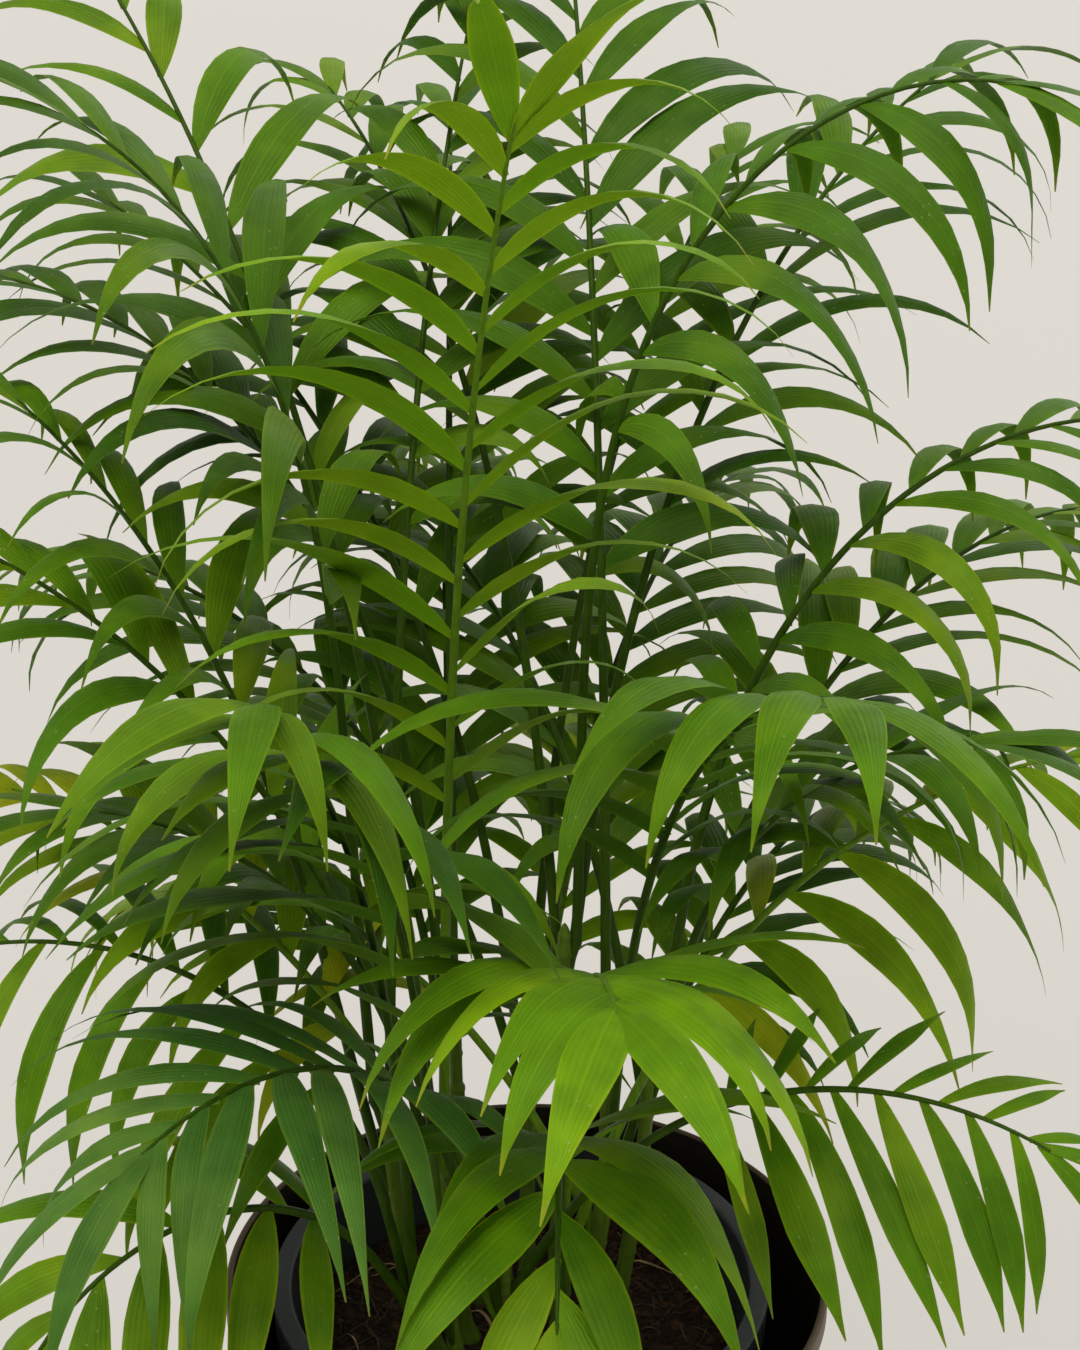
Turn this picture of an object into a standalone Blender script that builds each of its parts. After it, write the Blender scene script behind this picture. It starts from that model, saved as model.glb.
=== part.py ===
# Parlour palm (Chamaedorea elegans) growing as a clump of thin canes in a grey nursery pot,
# which stands loose inside a wider brown outer pot. Metres, +Z up. The origin is the middle
# of the outer pot's flat underside. The side that the photo shows faces -Y.
import bpy
import math
import random
from mathutils import Vector
from mathutils.bvhtree import BVHTree

OBJECT = "parlour_palm"
UP = Vector((0.0, 0.0, 1.0))

# Gap left between pieces that touch in the real plant.
GAP = 0.0003

# Outer pot: a plain tapered cylinder with a thin rim.
POT_HEIGHT = 0.260
POT_RIM_RADIUS = 0.1455
POT_BASE_RADIUS = 0.1110
POT_WALL = 0.0035
POT_FLOOR = 0.006
POT_EDGE = 0.003
POT_SIDES = 36

# Nursery pot: thin wall under a stiff flat rim band, set a little off the middle.
NURSERY_TOP = 0.252
NURSERY_RIM_RADIUS = 0.1215
NURSERY_BASE_RADIUS = 0.0860
NURSERY_WALL = 0.0020
NURSERY_FLOOR = 0.0030
NURSERY_RIM_DEPTH = 0.020
NURSERY_RIM_STEP = 0.0075
NURSERY_OFFSET = (-0.003, 0.006)

# Soil: a flat bed, a little lower at the wall.
SOIL_TOP = 0.217
SOIL_FLAT_RADIUS = 0.092
SOIL_EDGE_DROP = 0.003

# Canes: each row is where its tip stands, and its foot is this share of the way out.
CANE_FOOT_SHARE = 0.72
CANE_FOOT_RADIUS = 0.0048
CANE_TIP_RADIUS = 0.0030
CANE_FLARE_RADIUS = 0.0066
CANE_FLARE_HEIGHT = 0.008
CANE_BOW = 0.004
CANE_FOOT_CUT = 0.001
CANE_BEVEL = 2
CANE_STATIONS = 3
CANES = (
    (-0.040, 0.000, 0.345),
    (0.038, 0.004, 0.365),
    (-0.066, -0.006, 0.365),
    (0.018, 0.030, 0.430),
    (0.060, 0.016, 0.400),
    (0.017, -0.014, 0.300),
    (-0.010, -0.030, 0.285),
    (-0.052, -0.034, 0.290),
    (0.000, 0.062, 0.380),
    (-0.036, 0.044, 0.400),
    (0.016, -0.040, 0.275),
    (-0.036, -0.050, 0.280),
)

# Ribs: petiole and rachis in one, three-sided, thinning to the tip.
RIB_FOOT_RADIUS = 0.0026
RIB_TIP_RADIUS = 0.0010
RIB_STATIONS = 8
RIB_SIDES = 3
RIB_ROOM_SIDES = 7
RIB_OFF_CANE = 0.0012
SEAT_RADIUS = 0.0016
SEAT_OFF_CANE = 0.00095
SEAT_DROP = 0.0015

# Leaflets: a folded blade, narrow at its root and long-pointed.
LEAF_WIDTH_SHARE = 0.128
LEAF_WIDTH_MOST = 0.0210
LEAF_ROOT_WIDTH = 0.0030
LEAF_THICKNESS = 0.0014
LEAF_FOLD = 0.16
LEAF_SINK = 0.0006
LEAF_STEPS = 12
LEAF_STATIONS = (0.0, 0.30, 0.66, 1.0)
SWEEP_FIRST = 50.0
SWEEP_LAST = 25.0
SWEEP_END = 15.0
LIFT_FIRST = 24.0
LIFT_LAST = 8.0
LEAF_DROOP = 106.0
STEEPEST = -86.0
LEAF_TWIST = 0.88
LEAF_TWIST_START = 0.15
LEAF_SHORTEST = 0.045
LEAF_BROADEST = 0.40
LEAF_SWELL_POWER = 0.8
LEAF_POINT_POWER = 1.7

# Leaflet length along the blade, as shares of the longest.
SPAN_FIRST = 0.74
SPAN_LONGEST_AT = 0.35
SPAN_LAST = 0.54
SPAN_POWER = 1.6

# Pairs along the blade: where in its step each pair springs, how far the left one of a pair
# lags, and the last pair, which ends the blade and is longer.
PAIR_START = 0.15
PAIR_STAGGER = 0.38
END_AT = 0.985
END_LENGTH = 1.35

# Seeded unevenness, as ranges.
SEED = 100
VARY_SWEEP = (-4.0, 4.0)
VARY_LIFT = (-4.0, 4.0)
VARY_LENGTH = (0.93, 1.05)
VARY_DROOP = (0.82, 1.15)
VARY_END_SWEEP = (-2.0, 3.0)
VARY_END_LENGTH = (0.95, 1.05)
VARY_END_DROOP = (0.55, 0.80)

# Room kept round a leaflet when it is tried against its neighbours.
CLEAR = 0.0005

# Room kept at the pots: inside and outside the outer wall, over the rims, and within the
# nursery pot's rim.
ROOM_WITHIN = 0.004
ROOM_BEYOND = 0.002
ROOM_OVER = 0.001
ROOM_LOW = 0.010
ROOM_NURSERY_LOW = 0.020
ROOM_RIM = 0.012

LIME, MID, DEEP, OLIVE = "lime", "mid", "deep", "olive"
LEAF_COLOURS = {
    LIME: (0.115, 0.290, 0.010, 1.0),
    MID: (0.052, 0.165, 0.012, 1.0),
    DEEP: (0.022, 0.090, 0.016, 1.0),
    OLIVE: (0.150, 0.210, 0.014, 1.0),
}

# Fronds that face the photo, from the top of the crown down: name, cane, drop below the
# cane's tip, azimuth, rise at the foot, droop to the tip, where the bend comes, length,
# bare share, leaflet pairs, leaflet length, colour. Angles in degrees, azimuth from +X.
FRONDS = (
    ("centre_bright", 0, 0.012, -77, 86, 36, 1.5, 0.525, 0.35, 10, 0.155, LIME),
    ("back_tall", 1, 0.014, 95, 86, 45, 1.5, 0.590, 0.42, 10, 0.165, DEEP),
    ("upper_right", 3, 0.010, 0, 90, 102, 3.0, 0.490, 0.50, 8, 0.145, MID),
    ("back_left_tall", 2, 0.014, 80, 84, 46, 1.5, 0.540, 0.50, 8, 0.120, DEEP),
    ("upper_left", 0, 0.020, 138, 83, 44, 1.5, 0.600, 0.46, 9, 0.150, MID),
    ("left_arch", 2, 0.010, 175, 88, 60, 4.0, 0.480, 0.48, 9, 0.155, DEEP),
    ("left_far", 9, 0.012, 170, 86, 80, 1.8, 0.430, 0.50, 8, 0.130, DEEP),
    ("left_middle", 2, 0.044, 172, 79, 38, 2.5, 0.400, 0.50, 7, 0.125, MID),
    ("right_middle", 4, 0.012, 12, 84, 96, 1.9, 0.400, 0.34, 8, 0.130, MID),
    ("right_arch", 1, 0.030, -68, 84, 68, 1.5, 0.370, 0.42, 8, 0.165, MID),
    ("right_low", 5, 0.012, 4, 74, 66, 1.5, 0.345, 0.40, 7, 0.125, OLIVE),
    ("left_front", 7, 0.010, -102, 84, 50, 1.5, 0.410, 0.50, 7, 0.140, MID),
    ("left_front_inner", 11, 0.010, -106, 84, 40, 2.0, 0.350, 0.48, 7, 0.155, DEEP),
    ("left_level", 6, 0.008, 180, 74, 52, 2.2, 0.450, 0.50, 7, 0.130, MID),
    ("left_yellow", 6, 0.028, 170, 72, 62, 1.7, 0.350, 0.42, 7, 0.105, OLIVE),
    ("left_comb", 7, 0.026, 188, 84, 94, 1.5, 0.310, 0.36, 8, 0.125, MID),
    ("front_left_blue", 6, 0.020, -132, 83, 104, 1.5, 0.305, 0.44, 7, 0.140, DEEP),
    ("front_left_low", 7, 0.034, -152, 68, 118, 1.5, 0.255, 0.32, 7, 0.140, MID),
    ("front_bright", 5, 0.004, -86, 74, 66, 1.5, 0.340, 0.44, 8, 0.140, LIME),
    ("right_front_low", 6, 0.014, -26, 65, 86, 1.5, 0.310, 0.44, 8, 0.120, MID),
    ("front_low", 10, 0.008, -91, 83, 128, 1.6, 0.290, 0.30, 7, 0.145, MID),
    ("inner_left", 0, 0.036, -165, 84, 70, 1.5, 0.270, 0.36, 6, 0.130, DEEP),
    ("inner_right", 4, 0.040, -28, 84, 74, 1.5, 0.260, 0.36, 6, 0.130, DEEP),
)

# Fronds of the far side, which the photo hides: each tier is spread evenly in azimuth.
# Count, first and last azimuth, canes in turn, first drop, rise, droop, length, bare share,
# pairs, leaflet length, colours in turn.
TIERS = (
    ("far_high", 5, 36, 146, (3, 8, 9), 0.016, 82, 60, 0.480, 0.44, 8, 0.150, (DEEP, MID)),
    ("far_middle", 5, 34, 152, (4, 8, 9), 0.040, 74, 80, 0.380, 0.38, 8, 0.140, (MID, DEEP)),
    ("far_low", 4, 38, 148, (1, 8, 9), 0.070, 62, 88, 0.300, 0.34, 7, 0.130, (DEEP, OLIVE)),
)
TIER_BEND = 1.5
TIER_DROP_STEP = 0.012
AZIMUTH_NUDGES = (0, 7, -7, 14, -14, 21, -21, 28, -28)
# Extra sweep, extra droop and share of the length that a leaflet tries in turn.
LEAF_TRIES = (
    (0, 0, 1.0),
    (6, 12, 1.0),
    (-6, -14, 1.0),
    (10, -8, 0.9),
    (-12, 16, 0.85),
    (14, 26, 0.72),
)

# How a frond's leaflets are set where they differ from the plain way: the blade's tilt about
# its rib (positive lowers the side on the rib's right), how far both sides fall from level,
# extra sweep from the rib, and the share and the lateness of the droop. Angles in degrees.
PLAIN_SET = (0.0, 0.0, 0.0, 1.0, 1.4)
LEAF_SETS = {
    "centre_bright": (0.0, 0.0, 4.0, 0.95, 1.4),
    "upper_right": (34.0, 0.0, 8.0, 1.0, 1.2),
    "upper_left": (-10.0, 0.0, 0.0, 1.0, 1.4),
    "right_middle": (8.0, 14.0, 10.0, 1.1, 1.4),
    "right_arch": (-14.0, 0.0, 8.0, 1.0, 1.2),
    "right_low": (24.0, 32.0, 14.0, 0.8, 1.1),
    "left_front": (0.0, 0.0, 0.0, 1.12, 1.1),
    "left_front_inner": (0.0, 0.0, 0.0, 1.1, 1.1),
    "left_level": (-20.0, 0.0, 0.0, 1.0, 1.4),
    "left_yellow": (-24.0, 0.0, 8.0, 1.0, 1.4),
    "left_comb": (-30.0, 26.0, 16.0, 0.7, 1.0),
    "front_left_low": (-20.0, 0.0, 0.0, 1.0, 1.2),
    "front_bright": (0.0, 0.0, 0.0, 0.85, 1.4),
    "right_front_low": (12.0, 46.0, 12.0, 0.6, 1.0),
    "front_low": (0.0, 0.0, 0.0, 0.85, 1.4),
}


def clear_scene():
    for obj in list(bpy.data.objects):
        bpy.data.objects.remove(obj, do_unlink=True)


def new_collection(name):
    found = bpy.data.collections.new(name)
    bpy.context.scene.collection.children.link(found)
    return found


def material(name, colour, roughness, metallic=0.0):
    made = bpy.data.materials.new(name)
    made.use_nodes = True
    shader = made.node_tree.nodes["Principled BSDF"]
    shader.inputs["Base Color"].default_value = colour
    shader.inputs["Roughness"].default_value = roughness
    shader.inputs["Metallic"].default_value = metallic
    made.diffuse_color = colour
    return made


def mesh_object(name, points, faces, collection, finish=None):
    mesh = bpy.data.meshes.new(name)
    mesh.from_pydata([tuple(p) for p in points], [], faces)
    mesh.update()
    obj = bpy.data.objects.new(name, mesh)
    collection.objects.link(obj)
    if finish:
        mesh.materials.append(finish)
    return obj


def turned(name, profile, steps, collection, finish, offset=(0.0, 0.0)):
    """A body of revolution: the profile of (radius, height) runs down its outer side."""
    points = [Vector((radius, 0.0, height)) for radius, height in profile]
    edges = [(i, i + 1) for i in range(len(points) - 1)]
    mesh = bpy.data.meshes.new(name)
    mesh.from_pydata([tuple(p) for p in points], edges, [])
    obj = bpy.data.objects.new(name, mesh)
    collection.objects.link(obj)
    obj.location = (offset[0], offset[1], 0.0)
    screw = obj.modifiers.new("Turn", "SCREW")
    screw.axis = "Z"
    screw.angle = math.tau
    screw.steps = steps
    screw.render_steps = steps
    screw.use_merge_vertices = True
    screw.merge_threshold = 0.00005
    screw.use_smooth_shade = True
    mesh.materials.append(finish)
    return obj


def wall_radius(height, base_radius, rim_radius, top):
    return base_radius + (rim_radius - base_radius) * height / top


def outer_pot(collection):
    inner_floor = wall_radius(POT_FLOOR, POT_BASE_RADIUS, POT_RIM_RADIUS, POT_HEIGHT) - POT_WALL
    profile = (
        (0.0, POT_FLOOR),
        (inner_floor, POT_FLOOR),
        (POT_RIM_RADIUS - POT_WALL, POT_HEIGHT - POT_EDGE),
        (POT_RIM_RADIUS - POT_WALL * 0.6, POT_HEIGHT),
        (POT_RIM_RADIUS - POT_WALL * 0.2, POT_HEIGHT),
        (POT_RIM_RADIUS + 0.001, POT_HEIGHT - POT_EDGE),
        (POT_BASE_RADIUS + 0.001, POT_EDGE),
        (POT_BASE_RADIUS - POT_EDGE, 0.0),
        (0.0, 0.0),
    )
    finish = material("pot_brown", (0.068, 0.040, 0.016, 1.0), 0.5)
    return turned("outer_pot", profile, POT_SIDES, collection, finish)


def nursery_bottom():
    return POT_FLOOR + GAP


def nursery_wall(height):
    """Outer radius of the nursery pot's wall, below its rim band."""
    low = nursery_bottom()
    share = (height - low) / (NURSERY_TOP - low)
    return NURSERY_BASE_RADIUS + (NURSERY_RIM_RADIUS - NURSERY_RIM_STEP - NURSERY_BASE_RADIUS) * share


def nursery_pot(collection):
    low = nursery_bottom()
    floor = low + NURSERY_FLOOR
    band = NURSERY_TOP - NURSERY_RIM_DEPTH
    profile = (
        (0.0, floor),
        (nursery_wall(floor) - NURSERY_WALL, floor),
        (nursery_wall(NURSERY_TOP) - NURSERY_WALL, NURSERY_TOP - 0.001),
        (nursery_wall(NURSERY_TOP) - NURSERY_WALL + 0.001, NURSERY_TOP),
        (NURSERY_RIM_RADIUS - 0.001, NURSERY_TOP),
        (NURSERY_RIM_RADIUS, NURSERY_TOP - 0.001),
        (NURSERY_RIM_RADIUS - 0.001, band),
        (nursery_wall(band), band - 0.003),
        (nursery_wall(low), low),
        (0.0, low),
    )
    finish = material("nursery_grey", (0.065, 0.068, 0.066, 1.0), 0.55)
    return turned("nursery_pot", profile, POT_SIDES, collection, finish, NURSERY_OFFSET)


def soil_bed(collection):
    low = nursery_bottom() + NURSERY_FLOOR + GAP
    edge = SOIL_TOP - SOIL_EDGE_DROP
    profile = (
        (0.0, SOIL_TOP),
        (SOIL_FLAT_RADIUS, SOIL_TOP),
        (nursery_wall(edge) - NURSERY_WALL - GAP * 1.4, edge),
        (nursery_wall(low) - NURSERY_WALL - GAP * 1.4, low),
        (0.0, low),
    )
    finish = material("soil_dark", (0.030, 0.018, 0.010, 1.0), 0.95)
    return turned("soil", profile, POT_SIDES, collection, finish, NURSERY_OFFSET)


def tube_rings(points, radii, sides):
    """Rings round a bent axis with one corner always up, also where the axis starts upright."""
    rings = []
    side = None
    for i, point in enumerate(points):
        ahead = points[min(i + 1, len(points) - 1)] - points[max(i - 1, 0)]
        ahead.normalize()
        if side is None:
            side = ahead.cross(UP)
            if side.length < 0.01:
                side = Vector((1.0, 0.0, 0.0))
        side = (side - ahead * side.dot(ahead)).normalized()
        over = side.cross(ahead)
        ring = []
        for k in range(sides):
            angle = math.tau * k / sides + math.pi / 2
            ring.append(point + (side * math.cos(angle) + over * math.sin(angle)) * radii[i])
        rings.append(ring)
    return rings


def tube_mesh(points, radii, sides):
    rings = tube_rings(points, radii, sides)
    verts = [v for ring in rings for v in ring]
    faces = []
    for i in range(len(rings) - 1):
        for k in range(sides):
            a = i * sides + k
            b = i * sides + (k + 1) % sides
            faces.append((a, b, b + sides, a + sides))
    faces.append(tuple(reversed(range(sides))))
    last = (len(rings) - 1) * sides
    faces.append(tuple(range(last, last + sides)))
    return verts, faces


def cane_point(index, share):
    """A point of the cane's axis, from its foot at 0 to its tip at 1, bowed outwards."""
    x, y, z = CANES[index]
    out = Vector((x, y, 0.0))
    foot = Vector((x * CANE_FOOT_SHARE, y * CANE_FOOT_SHARE, SOIL_TOP + GAP))
    tip = Vector((x, y, z))
    bow = out.normalized() * CANE_BOW * math.sin(math.pi * share)
    return foot.lerp(tip, share) + bow


def cane_radius(index, share):
    height = CANES[index][2] - SOIL_TOP
    flare = max(0.0, 1.0 - share * height / CANE_FLARE_HEIGHT)
    plain = CANE_FOOT_RADIUS + (CANE_TIP_RADIUS - CANE_FOOT_RADIUS) * share
    return plain + (CANE_FLARE_RADIUS - CANE_FOOT_RADIUS) * flare


def cane(index, collection, finish):
    """The cane as a bevelled curve that starts upright, so that its foot is cut flat."""
    height = CANES[index][2] - SOIL_TOP
    shares = [0.0, CANE_FLARE_HEIGHT / height]
    shares += [(k + 1) / CANE_STATIONS for k in range(CANE_STATIONS)]
    points = [cane_point(index, share) for share in shares]
    radii = [cane_radius(index, share) for share in shares]
    points.insert(1, points[0] + UP * CANE_FOOT_CUT)
    radii.insert(1, radii[0])
    curve = bpy.data.curves.new("cane_axis", "CURVE")
    curve.dimensions = "3D"
    curve.bevel_depth = 1.0
    curve.bevel_resolution = CANE_BEVEL
    curve.use_fill_caps = True
    spline = curve.splines.new("POLY")
    spline.points.add(len(points) - 1)
    for point, place, radius in zip(spline.points, points, radii):
        point.co = (place.x, place.y, place.z, 1.0)
        point.radius = radius
    axis = bpy.data.objects.new("cane_axis", curve)
    collection.objects.link(axis)
    graph = bpy.context.evaluated_depsgraph_get()
    mesh = bpy.data.meshes.new_from_object(axis.evaluated_get(graph))
    bpy.data.objects.remove(axis, do_unlink=True)
    bpy.data.curves.remove(curve)
    mesh.materials.clear()
    mesh.materials.append(finish)
    mesh.shade_smooth()
    made = bpy.data.objects.new(f"cane_{index + 1}", mesh)
    collection.objects.link(made)
    return made


def body_of(obj):
    """The points and faces of a plain mesh object, as the room tests take them."""
    return [v.co.copy() for v in obj.data.vertices], [tuple(p.vertices) for p in obj.data.polygons]


def frond_rows():
    rows = [dict(zip(("name", "cane", "drop", "azimuth", "rise", "droop", "bend", "length",
                      "bare", "pairs", "leaf", "colour"), row)) for row in FRONDS]
    for name, count, first, last, canes, drop, rise, droop, length, bare, pairs, leaf, colours in TIERS:
        for k in range(count):
            rows.append({
                "name": f"{name}_{k + 1}",
                "cane": canes[k % len(canes)],
                "drop": drop + TIER_DROP_STEP * (k // len(canes)),
                "azimuth": first + (last - first) * k / (count - 1),
                "rise": rise,
                "droop": droop,
                "bend": TIER_BEND,
                "length": length,
                "bare": bare,
                "pairs": pairs,
                "leaf": leaf,
                "colour": colours[k % len(colours)],
            })
    return rows


def rib_radius(share):
    return RIB_FOOT_RADIUS + (RIB_TIP_RADIUS - RIB_FOOT_RADIUS) * share


def heading_of(azimuth):
    return Vector((math.cos(math.radians(azimuth)), math.sin(math.radians(azimuth)), 0.0))


def off_cane(row, azimuth, gap):
    """The point this far off the cane's side, at the height where the frond springs."""
    index = row["cane"]
    share = 1.0 - row["drop"] / (CANES[index][2] - SOIL_TOP)
    return cane_point(index, share) + heading_of(azimuth) * (cane_radius(index, share) + gap)


def rib_curve(row, azimuth, count):
    """Points of the rib, which rises beside its cane and bends down in one upright plane."""
    heading = heading_of(azimuth)
    point = off_cane(row, azimuth, RIB_FOOT_RADIUS + RIB_OFF_CANE)
    points = [point]
    step = row["length"] / (count - 1)
    for k in range(count - 1):
        middle = (k + 0.5) / (count - 1)
        angle = math.radians(row["rise"] - row["droop"] * middle ** row["bend"])
        point = point + (heading * math.cos(angle) + UP * math.sin(angle)) * step
        points.append(point)
    return points


def at_share(points, share):
    place = min(max(share, 0.0), 1.0) * (len(points) - 1)
    low = min(int(place), len(points) - 2)
    return points[low].lerp(points[low + 1], place - low)


def tangent_at(points, share):
    step = 0.5 / (len(points) - 1)
    return (at_share(points, share + step) - at_share(points, share - step)).normalized()


def leaf_span(share):
    """Leaflet length along the blade, as a share of the longest."""
    if share < SPAN_LONGEST_AT:
        return SPAN_FIRST + (1.0 - SPAN_FIRST) * math.sin(share / SPAN_LONGEST_AT * math.pi / 2)
    beyond = (share - SPAN_LONGEST_AT) / (1.0 - SPAN_LONGEST_AT)
    return 1.0 - (1.0 - SPAN_LAST) * beyond ** SPAN_POWER


def leaf_plan(row, rng):
    """Where each leaflet of a frond springs and how it is set, before it is tried for room."""
    tilt, fall, more_sweep, droop_share, late = LEAF_SETS.get(row["name"], PLAIN_SET)
    droop = LEAF_DROOP * droop_share
    blade = 1.0 - row["bare"]
    plans = []
    for k in range(row["pairs"]):
        along = (k + PAIR_START) / row["pairs"]
        sweep = SWEEP_FIRST + (SWEEP_LAST - SWEEP_FIRST) * along + more_sweep
        lift = LIFT_FIRST + (LIFT_LAST - LIFT_FIRST) * along - fall
        for side in (1.0, -1.0):
            stagger = 0.0 if side > 0 else PAIR_STAGGER / row["pairs"]
            plans.append((
                row["bare"] + blade * (along + stagger),
                side,
                sweep + rng.uniform(*VARY_SWEEP),
                lift + rng.uniform(*VARY_LIFT) - tilt * side,
                row["leaf"] * leaf_span(along) * rng.uniform(*VARY_LENGTH),
                droop * rng.uniform(*VARY_DROOP),
                late,
            ))
    for side in (1.0, -1.0):
        plans.append((
            END_AT,
            side,
            SWEEP_END + rng.uniform(*VARY_END_SWEEP),
            LIFT_LAST - fall - tilt * side,
            row["leaf"] * SPAN_LAST * END_LENGTH * rng.uniform(*VARY_END_LENGTH),
            droop * rng.uniform(*VARY_END_DROOP),
            late,
        ))
    return plans


def leaf_frames(points, plan, tweak):
    """The leaflet's axis points with its width and upper directions at even steps."""
    place, side, sweep, lift, length, droop, late = plan
    more_sweep, more_droop, scale = tweak
    length *= scale
    droop = math.radians(droop + more_droop)
    steepest = math.radians(STEEPEST)
    ahead = tangent_at(points, place)
    flat = Vector((ahead.x, ahead.y, 0.0)).normalized()
    across = Vector((flat.y, -flat.x, 0.0)) * side
    over = across.cross(ahead) * side
    sweep = math.radians(sweep + more_sweep)
    lift = math.radians(lift)
    out = ahead * math.cos(sweep) + (across * math.cos(lift) + over * math.sin(lift)) * math.sin(sweep)
    out.normalize()
    level = Vector((out.x, out.y, 0.0))
    level = level.normalized() if level.length > 0.02 else across.copy()
    first = math.asin(max(-1.0, min(1.0, out.z)))
    root_width = (ahead - out * ahead.dot(out)).normalized()
    level_width = level.cross(UP)
    if level_width.dot(root_width) < 0:
        level_width = -level_width
    centre = at_share(points, place) - out * LEAF_SINK
    frames = []
    for k in range(LEAF_STEPS + 1):
        t = k / LEAF_STEPS
        angle = max(first - droop * t ** late, steepest)
        along = level * math.cos(angle) + UP * math.sin(angle)
        width = root_width.lerp(level_width, min(1.0, LEAF_TWIST_START + LEAF_TWIST * t))
        width = (width - along * width.dot(along)).normalized()
        top = width.cross(along)
        if top.dot(over) < 0 and top.z < 0:
            top = -top
        frames.append((centre.copy(), width, top))
        angle = max(first - droop * ((k + 0.5) / LEAF_STEPS) ** late, steepest)
        centre = centre + (level * math.cos(angle) + UP * math.sin(angle)) * (length / LEAF_STEPS)
    return frames, length


def leaf_half_width(t, length):
    """Half the blade's width at a share of its length: narrow root, long point."""
    most = min(LEAF_WIDTH_MOST, length * LEAF_WIDTH_SHARE + 0.002) / 2
    if t < LEAF_BROADEST:
        swell = math.sin(t / LEAF_BROADEST * math.pi / 2) ** LEAF_SWELL_POWER
        return LEAF_ROOT_WIDTH / 2 + (most - LEAF_ROOT_WIDTH / 2) * swell
    return most * (1.0 - ((t - LEAF_BROADEST) / (1.0 - LEAF_BROADEST)) ** LEAF_POINT_POWER)


def frame_at(frames, t):
    place = t * (len(frames) - 1)
    low = min(int(place), len(frames) - 2)
    part = place - low
    centre = frames[low][0].lerp(frames[low + 1][0], part)
    width = frames[low][1].lerp(frames[low + 1][1], part).normalized()
    top = frames[low][2].lerp(frames[low + 1][2], part).normalized()
    return centre, width, top


def leaf_mesh(frames, length, grow=0.0):
    """The blade as a three-sided solid with a ridge, or, grown, the room that it must have."""
    verts = []
    faces = []
    for t in LEAF_STATIONS[1:-1]:
        centre, width, top = frame_at(frames, t)
        half = leaf_half_width(t, length) + grow
        ridge = LEAF_THICKNESS + half * LEAF_FOLD * 0.5 + grow
        verts.append(centre - width * half - top * grow)
        verts.append(centre + width * half - top * grow)
        verts.append(centre + top * ridge)
    root = len(verts)
    verts.append(frames[0][0])
    tip = len(verts)
    verts.append(frames[-1][0])
    rings = len(LEAF_STATIONS) - 2
    for i in range(rings - 1):
        for k in range(3):
            a = i * 3 + k
            b = i * 3 + (k + 1) % 3
            faces.append((a, b, b + 3))
            faces.append((a, b + 3, a + 3))
    last = (rings - 1) * 3
    for k in range(3):
        faces.append(((k + 1) % 3, k, root))
        faces.append((last + k, last + (k + 1) % 3, tip))
    return verts, faces


def outward(verts, faces):
    """Turns every face round where the solid would be inside out."""
    volume = 0.0
    for face in faces:
        for k in range(1, len(face) - 1):
            volume += verts[face[0]].dot(verts[face[k]].cross(verts[face[k + 1]]))
    return faces if volume > 0 else [tuple(reversed(face)) for face in faces]


def tree_of(bodies):
    verts = []
    faces = []
    for body_verts, body_faces in bodies:
        start = len(verts)
        verts.extend(body_verts)
        faces.extend(tuple(start + i for i in face) for face in body_faces)
    return BVHTree.FromPolygons(verts, faces)


def disc_wall(radius_low, z_low, radius_high, z_high, offset):
    """A cone band with a floor, which stands for a pot's wall or the soil when room is tried."""
    verts = []
    faces = []
    for radius, z in ((radius_low, z_low), (radius_high, z_high)):
        for k in range(POT_SIDES):
            angle = math.tau * k / POT_SIDES
            x = offset[0] + radius * math.cos(angle)
            y = offset[1] + radius * math.sin(angle)
            verts.append(Vector((x, y, z)))
    for a in range(POT_SIDES):
        b = (a + 1) % POT_SIDES
        faces.append((a, b, b + POT_SIDES, a + POT_SIDES))
    faces.append(tuple(range(POT_SIDES)))
    return verts, faces


def pot_walls():
    """The surfaces that no frond may touch."""
    here = NURSERY_OFFSET
    none = (0.0, 0.0)
    over = POT_HEIGHT + ROOM_OVER
    rim_over = NURSERY_TOP + ROOM_OVER
    rim_in = NURSERY_RIM_RADIUS - ROOM_RIM
    return [
        disc_wall(POT_BASE_RADIUS - ROOM_WITHIN, ROOM_LOW, POT_RIM_RADIUS - ROOM_WITHIN, over, none),
        disc_wall(POT_BASE_RADIUS + ROOM_BEYOND, ROOM_OVER, POT_RIM_RADIUS + ROOM_BEYOND, over, none),
        disc_wall(NURSERY_BASE_RADIUS, ROOM_NURSERY_LOW, NURSERY_RIM_RADIUS + ROOM_OVER, rim_over, here),
        disc_wall(rim_in, SOIL_TOP + ROOM_OVER, rim_in + ROOM_OVER, rim_over, here),
        disc_wall(rim_in, rim_over, NURSERY_RIM_RADIUS, rim_over, here),
    ]


def seated_rib(row, azimuth, points, radii):
    """The rib's solid with a thinner foot that reaches in to the cane's side."""
    seat = off_cane(row, azimuth, SEAT_OFF_CANE) - UP * SEAT_DROP
    return tube_mesh([seat] + points, [SEAT_RADIUS] + radii, RIB_SIDES)


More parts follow.
